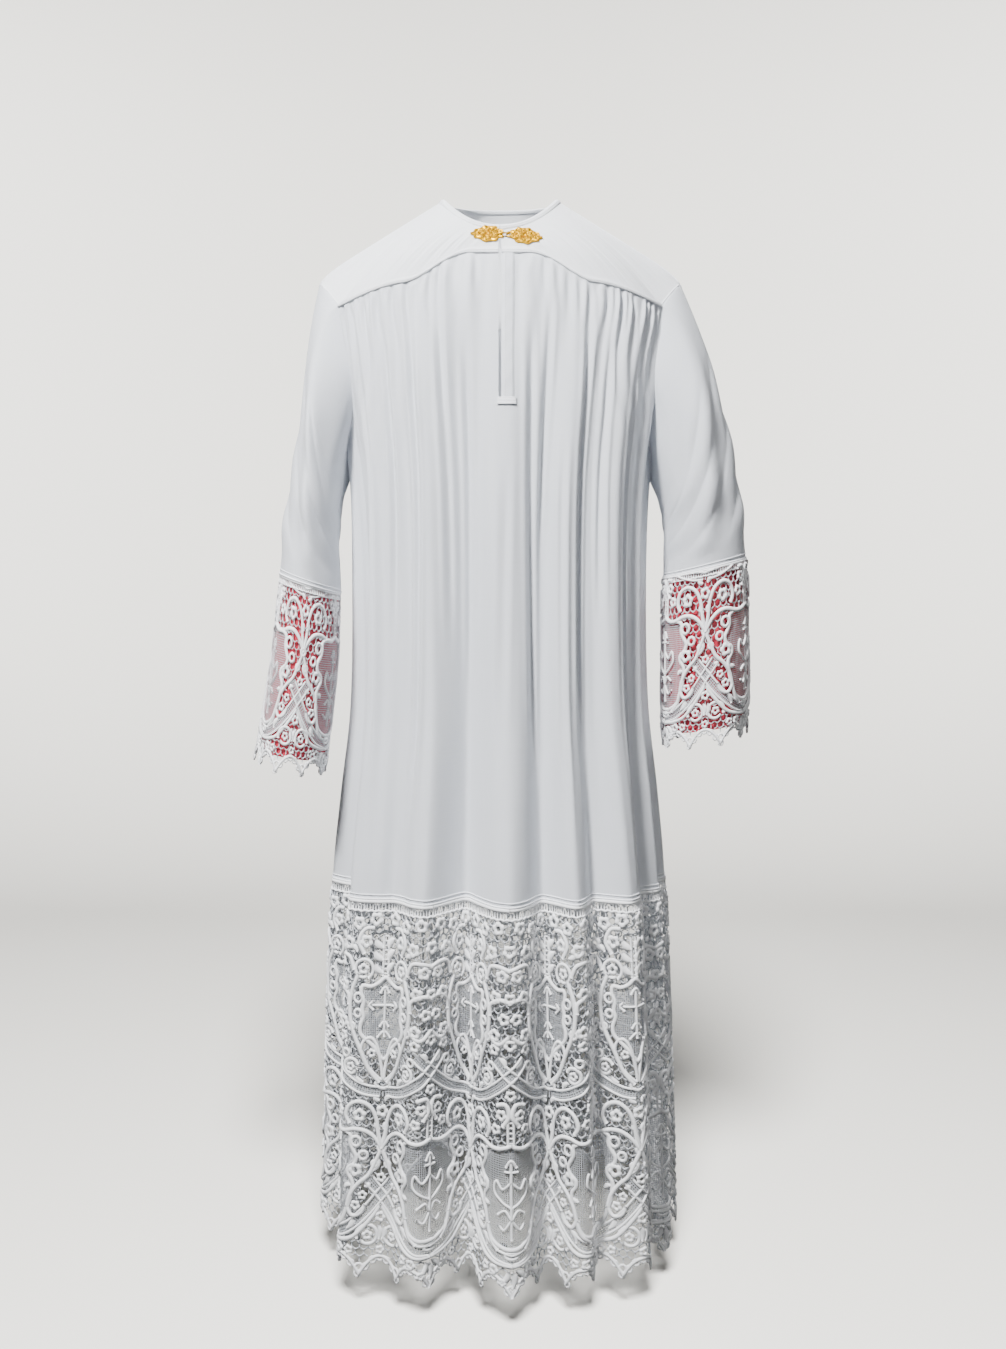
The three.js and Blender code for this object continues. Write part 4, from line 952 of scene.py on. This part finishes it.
class Lace(Threads):
    """A pattern of cords, with the paths kept that the net has to leave free."""

    def __init__(self):
        super().__init__()
        self.paths = []

    def lay(self, path, *shape):
        """A cord along a path's own points; the shape is what sweep takes."""
        self.paths.append(path)
        self.add(*sweep(path, *shape))

    def cord(self, points, width, height=3.8, closed=False, step=3.0, lift=1.2):
        self.lay(smooth_line(points, step, closed), width, height, 5, closed, lift)

    def ring(self, x, v, wide, tall, count, *shape, **more):
        self.cord(circle(x, v, wide, tall, count), *shape, True, **more)

    def flower(self, x, v, radius):
        petal = np.cos(5 * np.linspace(0, 2 * np.pi, 21)[:-1] + x)
        reach = radius * (0.64 + 0.07 * petal)
        width, height = radius * (0.66 + 0.18 * petal), 3.8 + 0.8 * petal
        self.lay(circle(x, v, reach, reach, 20), width, height, 6, True, 1.8)

    def scroll(self, x, v, radius, turns, first, hand):
        t = np.linspace(0, 1, int(9 * turns) + 3)
        size = mix(radius, radius * 0.8, t**0.8)
        angle = np.radians(first) + hand * 2 * np.pi * turns * t
        self.cord(np.stack([x + size * np.cos(angle), v + size * np.sin(angle)], 1), 5.0)

    def leaf(self, x0, v0, x1, v1, width):
        t = np.linspace(0, 1, 7)
        bow = 0.18 * np.sin(np.pi * t)
        path = np.stack([mix(x0, x1, t) + bow * (v1 - v0), mix(v0, v1, t) - bow * (x1 - x0)], 1)
        self.lay(path, 2.2 + 1.1 * width * np.sin(np.pi * t**0.8) ** 0.9, 3.4, 6, False, 1.5)

    def strip(self, start, end, width, lift, step=15.0):
        """A flat thread."""
        start, end = np.array(start, float), np.array(end, float)
        n = max(1, int(np.ceil(norm(end - start) / step)))
        path = mix(start, end, np.linspace(0, 1, n + 1)[:, None])
        way = unit(end - start)
        side = np.array([-way[1], way[0]]) * width / 2
        rows = np.stack([path - side, path + side], 1)
        verts = np.concatenate([rows, np.full((*rows.shape[:2], 1), lift)], -1).reshape(-1, 3)
        self.add(verts, grid_faces(n + 1, 2), FINE)

    def gauze(self, polygon):
        """Fine open weave inside an outline."""
        a, b = polygon, np.roll(polygon, -1, 0)
        for axis in (0, 1):
            low, high = polygon[:, axis].min(), polygon[:, axis].max()
            for at in np.arange(low + GAUZE_PITCH / 2, high, GAUZE_PITCH):
                hit = (a[:, axis] > at) != (b[:, axis] > at)
                share = (at - a[hit, axis]) / (b[hit, axis] - a[hit, axis])
                crossing = np.sort(mix(a[hit, 1 - axis], b[hit, 1 - axis], share))
                for first, last in zip(crossing[::2], crossing[1::2]):
                    ends = [(at, first), (at, last)] if axis == 0 else [(first, at), (last, at)]
                    self.strip(*ends, GAUZE_STRIP, 0.3 + 0.25 * axis)

    def ribbon(self, points):
        """Two cords with a fine weave between them."""
        path = smooth_line(points, 3.7)
        along = directions(path, False)
        side = np.stack([-along[:, 1], along[:, 0]], 1) * RIBBON_HALF
        for sign in (-1, 1):
            self.cord(path[::2] + sign * side[::2], 3.6, 3.2, lift=1.7)
        for k in range(len(path)):
            self.strip(path[k] - side[k], path[k] + side[k], 1.2, 0.9, 20)
        for sign in (-0.45, 0.05, 0.5):
            for k in range(0, len(path) - 2, 2):
                self.strip(path[k] + sign * side[k], path[k + 2] + sign * side[k + 2], 1.1, 1.1, 20)
        self.paths += [path, path + side / 2, path - side / 2]
        return np.vstack([path + side, (path - side)[::-1]])

    def ladder(self, x, top, foot, width):
        """Two upright cords with rungs."""
        left, right = x - width / 2, x + width / 2
        for side in (left, right):
            self.cord([(side, top), (side, foot)], 3.4, 3.0)
        count = int((foot - top) / 6)
        for k in range(count):
            v = mix(top, foot, (k + 0.5) / count)
            self.add(*sweep([(left, v), (right, v)], 2.6, 2.4, 4, False, 1.0))

    def net(self, areas, low, high):
        """Six-sided meshes wherever nothing else lies."""
        busy = np.vstack(self.paths)
        busy = np.vstack([busy + (shift, 0) for shift in (-REPEAT_WIDTH, 0, REPEAT_WIDTH)])
        busy = busy[np.abs(busy[:, 0]) < HALF + 8]
        areas = [area + (shift, 0) for area in areas for shift in (-REPEAT_WIDTH, 0, REPEAT_WIDTH)]
        rise = NET_PITCH * math.sqrt(3) / 2
        reach = NET_PITCH / math.sqrt(3)
        turns = np.radians(60 * np.arange(6) + 30)
        corners = reach * np.stack([np.cos(turns), np.sin(turns)], 1)
        bars = set()
        for row in range(int(low / rise), int(high / rise) + 1):
            for column in range(-11, 12):
                x, v = (column + 0.5 * (row % 2)) * NET_PITCH, row * rise
                ring = [tuple(corner) for corner in np.round(corners + (x, v), 1).tolist()]
                bars.update(tuple(sorted((ring[k], ring[(k + 1) % 6]))) for k in range(6))
        bars = np.array(sorted(bars))
        x, v = bars.mean(1).T
        free = (-HALF <= x) & (x < HALF) & (low < v) & (v < np.minimum(high, tile_edge(x) - 4))
        for area in areas:
            free &= ~inside(area, x, v)
        bars = bars[free]
        nearest = norm(bars.mean(1)[:, None] - busy[None]).min(1)
        for bar in bars[nearest > NET_CLEAR]:
            self.add(*sweep(bar, NET_BAR, 2.0, 4, False, 0.9), FINE)


def lace_pattern():
    lace = Lace()
    for x, v, radius in FLOWERS:
        lace.flower(x, v, radius)
        lace.flower(-x, v, radius)
    for x, v, radius in MIDDLE_FLOWERS + EDGE_FLOWERS:
        lace.flower(x, v, radius)
    for x, v, radius, turns, first, hand in SCROLLS:
        lace.scroll(x, v, radius, turns, first, hand)
        lace.scroll(-x, v, radius, turns, 180 - first, -hand)
    for x0, v0, x1, v1, width in LEAVES:
        lace.leaf(x0, v0, x1, v1, width)
        if x0 < HALF:
            lace.leaf(-x0, v0, -x1, v1, width)
    areas = []
    for shape in (outline(UPPER_MEDALLION, 0), outline(LOWER_MEDALLION, HALF)):
        line = smooth_line(shape, 3.0, True)
        lace.cord(shape, 6.0, 4.2, True)
        lace.gauze(line)
        areas.append(line)
    for stroke in CROSS + LILY:
        lace.cord(stroke, 3.6, 3.2, lift=2.2)
    for sign in (1, -1):
        for line in LINES:
            lace.cord([(sign * x, v) for x, v in line], 6.0, 4.4, lift=1.8)
        for x, v, radius in RINGS:
            lace.ring(sign * x, v, radius, radius, 9, 4.4, 3.6, lift=1.6)
        lace.cord([(sign * x, v) for x, v in LEAF_LOOP], 4.6, 3.8, True, lift=1.6)
        for line in (UPPER_RIBBON, LOWER_RIBBON):
            areas.append(lace.ribbon([(sign * x, v) for x, v in line]))
    lace.ladder(0, 44, 99, 7)
    lace.ladder(HALF, 254, 300, 7)
    for x, v, wide, tall in ((0, 240, 10, 6), (HALF, 441, 8, 4), (0, 325, 5, 5)):
        lace.ring(x, v, wide, tall, 12, 4.6, 3.8)
    edge = np.linspace(-HALF, HALF, 91)
    lace.cord(np.stack([edge, tile_edge(edge) - 3.2], 1), 5.0, 3.8, step=9)
    for x in np.arange(-HALF + 4.5, HALF, REPEAT_WIDTH / PICOTS):
        lace.ring(x, tile_edge(x) - 1.2, 4.3, 4.3, 7, 3.0, 2.6)
    for x in (-HALF / 3, HALF / 3, HALF):
        lace.ring(x, TIP - 13, 5, 6, 9, 3.4, 3.0, step=2.8)
    lace.net(areas, 14, TIP)
    return lace


def heading():
    """The lace's straight upper edge over one repeat: a tape, short bars and a wavy cord."""
    head = Threads()
    x = np.arange(-HALF, HALF + 0.1, 5.0)
    head.add(*sweep(np.stack([x, np.full_like(x, 2.4)], 1), 5.0, 2.2, 6, False, 0.8))
    for at in np.arange(-HALF + 2, HALF, 4.4):
        head.add(*sweep([(at, 3.0), (at, 14.0)], 1.7, 1.6, 4, False, 0.6))
    x = np.arange(-HALF, HALF + 0.1, 2.5)
    head.add(*sweep(np.stack([x, 14.5 + 0.8 * np.sin(2 * np.pi * x / 10)], 1), 3.2, 2.8, 5, False, 1.0))
    return head


def laid(points, surface):
    """Pattern points (x, v, height) laid on a surface, which gives a place for each (x, v)."""
    x, v, height = points.T
    place = surface(x, v)
    side = surface(x + 1, v) - surface(x - 1, v)
    fall = surface(x, v + 1) - surface(x, v - 1)
    return place + unit(np.cross(fall, side)) * height[:, None]


def ring_table():
    """For rows of drops, the degrees that share the body's ring out by its length."""
    drops = np.arange(LACE - 20, HEM + 70, 12.0)
    degs = np.linspace(-90, 270, 1441)
    shares = np.linspace(0, 1, 1801)
    runs = map(running, norm(np.diff(body(drops[:, None], degs), axis=1)))
    return drops, np.stack([np.interp(shares, run / run[-1], degs) for run in runs])


RING_DROPS, RING_DEGS = ring_table()


def hem_deg(share, drop):
    share = share % 1.0
    row = np.clip((drop - RING_DROPS[0]) / (RING_DROPS[1] - RING_DROPS[0]), 0, len(RING_DROPS) - 1.001)
    column = np.clip(share * (RING_DEGS.shape[1] - 1), 0, RING_DEGS.shape[1] - 1.001)
    r, c = row.astype(int), column.astype(int)
    upper = mix(RING_DEGS[r, c], RING_DEGS[r, c + 1], column - c)
    lower = mix(RING_DEGS[r + 1, c], RING_DEGS[r + 1, c + 1], column - c)
    return mix(upper, lower, row - r)


def hem_surface(first):
    """The hem's surface for a repeat whose middle lies at a share of the way round."""

    def surface(x, v):
        drop = LACE + v
        deg = hem_deg(first + x / (REPEATS * REPEAT_WIDTH), drop)
        fine = small_folds(drop, deg) * (1 - 0.6 * ease(0, 300, v))
        return body(drop, deg, fine)

    return surface


def cuff_surface(table, is_left, first):
    """A cuff's surface for a repeat whose middle lies at a turn."""
    length = table[EDGE_ROW][1] - table[CUFF_ROW][1]

    def surface(x, v):
        at = mix(CUFF_ROW, EDGE_ROW, v / length)
        turn = first + 360 * x / (CUFF_REPEATS * REPEAT_WIDTH)
        return on_side(sleeve_points(table, at, turn), is_left)

    return surface, length


clasp(yoke_tree())
lace, head = lace_pattern(), heading()
pattern, head_pattern = lace.all_verts(), head.all_verts()
hem_parts = [Threads() for _ in range(0, REPEATS, HEM_GROUP)]
for k in range(REPEATS):
    surface = hem_surface((k + 0.5 + HEM_SHIFT) / REPEATS)
    hem_parts[k // HEM_GROUP].add(laid(pattern, surface), lace.faces, lace.tones)
    hem_parts[k // HEM_GROUP].add(laid(head_pattern, surface), head.faces)
for k, group in enumerate(hem_parts):
    pieces[f"hem_lace_{k}"] = group.piece(f"hem_lace_{k}", lace_threads, "lace")
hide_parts("hem_lace_front")
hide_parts("hem_lace_back")

# The cuffs take the pattern's lower part, with their own heading over it.
kept = [k for k, face in enumerate(lace.faces) if min(pattern[list(face), 1]) > CUFF_TOP + 2]
cuff_faces, cuff_tones = [lace.faces[k] for k in kept], [lace.tones[k] for k in kept]
for side, table, is_left in SLEEVES:
    group = Threads()
    for k in range(CUFF_REPEATS):
        surface, length = cuff_surface(table, is_left, CUFF_TURN + 360 * k / CUFF_REPEATS)
        points = pattern.copy()
        points[:, 1] = (points[:, 1] - CUFF_TOP) * length / (TIP - CUFF_TOP)
        points = np.clip(points, [-300, -2, -9], [300, 400, 9])  # what no face uses stays by the lace
        group.add(laid(points, surface), cuff_faces, cuff_tones)
        group.add(laid(head_pattern * np.array([1, 0.75, 1]), surface), head.faces)
    piece = group.piece(f"cuff_lace_{side}", lace_threads, "lace")
    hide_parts(f"cuff_lace_{side}_front", f"cuff_lace_{side}_back")
    merge_close(piece, 0.0)
    pieces[piece.name] = piece

# ---- Cuff linings ----

for side, table, is_left in SLEEVES:
    length = table[EDGE_ROW][1] - table[CUFF_ROW][1]
    down = np.linspace(2, length - CUFF_SCALLOP - LINING_RISE, LINING_GRID[0])[:, None]
    at = mix(CUFF_ROW, EDGE_ROW, down / length)
    points = sleeve_points(table, at, np.linspace(0, 360, LINING_GRID[1]), LINING_INSET)
    piece = cloth(f"lining_{side}", points if is_left else mirror_x(points), satin)
    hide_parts(f"cuff_lining_{side}")
    pieces[piece.name] = piece

# ---- Surroundings ----

FLOOR, WALL, WALL_TOP, BEND = -1460, 4600, 6200, 2400


def surroundings():
    """A pale floor that curves up into a round wall."""
    bend = np.radians(np.linspace(0, 90, 24))
    reach = np.concatenate([[10], WALL - BEND + BEND * np.sin(bend), [WALL]])[:, None]
    z = np.concatenate([[FLOOR], FLOOR + BEND - BEND * np.cos(bend), [WALL_TOP]])[:, None]
    turn = np.radians(np.arange(0, 360, 3.75))[None, :]
    points = np.stack(np.broadcast_arrays(reach * np.cos(turn), reach * np.sin(turn), z), -1)
    n = Nodes("backdrop")
    clouds = n.noise(n.new("ShaderNodeTexCoord").outputs["Object"], 1.5)
    colour = n.blend(clouds, (0.66, 0.645, 0.60), (0.68, 0.665, 0.62))
    n.fill(n.shader, {"Base Color": colour, "Roughness": 0.95})
    faces = grid_faces(len(z), turn.size, True)
    ground = make("backdrop", points.reshape(-1, 3), faces, [n.material])
    ground.visible_diffuse = False
    ground.visible_shadow = False
    return ground


def light(name, lit, place, target, size, watts):
    """A round lamp that lights some objects only."""
    lamp = bpy.data.lights.new(name, "AREA")
    lamp.shape, lamp.size, lamp.energy = "DISK", size, watts
    holder = placed(name, lamp, place, Vector(target) - Vector(place))
    holder.visible_camera = False
    receivers = bpy.data.collections.new(name)
    for each in lit:
        receivers.objects.link(each)
    holder.light_linking.receiver_collection = receivers


ground = surroundings()
light("key", pieces.values(), (-1.0, -1.75, 1.75), (0, 0, -0.6), 0.5, 325)
light("fill", pieces.values(), (1.9, -2.1, 2.0), (0, 0, -0.7), 1.2, 45)
light("floor", [ground], (-0.1, -2.2, 2.4), (0, 0.6, -1.4), 1.2, 900)
light("back", pieces.values(), (0.7, 2.4, 1.9), (0, 0, -0.7), 0.9, 170)
for x, y in ((-1.7, 1.9), (1.7, 1.9), (-1.7, -1.9), (1.7, -1.9)):
    light("wall", [ground], (x, y, 1.1), (0.9 * x, 2.4 * y, 1.1), 2.4, 170)
world = bpy.data.worlds.new("world")
bpy.context.scene.world = world
world.use_nodes = True
sky = world.node_tree.nodes["Background"].inputs
sky["Color"].default_value, sky["Strength"].default_value = (0.92, 0.95, 1.0, 1), 0.04

for piece in pieces.values():
    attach(piece, "root")
for name, flat, area, held, rests_on, others in (
    ("front", (0.82, 0.84), 0.55, "gathered", ["yoke_left", "yoke_right"],
     ["hem_lace_0", "hem_lace_1", "seams", "bar_tack"]),
    ("back", (0.80, 0.78), 0.50, "gathered", ["yoke_behind"], ["hem_lace_2", "hem_lace_3"]),
    ("yoke_left", (0.25, 0.15), 0.028, "draped", [], ["neck_band_left", "yoke_fold_left"]),
    ("yoke_right", (0.25, 0.15), 0.028, "draped", [], ["neck_band_right", "yoke_fold_right"]),
    ("yoke_behind", (0.51, 0.20), 0.077, "draped", [],
     ["neck_band_behind", "neck_stitches", "yoke_fold_behind", "yoke_stitches"]),
    ("sleeve_cloth_left", (0.52, 0.40), 0.123, "hung", ["yoke_left"], ["cuff_lace_left"]),
    ("sleeve_cloth_right", (0.52, 0.41), 0.115, "hung", ["yoke_right"], ["cuff_lace_right"]),
    ("lining_left", (0.38, 0.22), None, "hung", ["sleeve_cloth_left"], []),
    ("lining_right", (0.365, 0.22), None, "hung", ["sleeve_cloth_right"], []),
    ("placket_strip", (0.0165, 0.2), None, "folded", ["front"], ["placket_stitches"]),
):
    trims = [pieces[other] for other in others]
    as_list(rests_on)
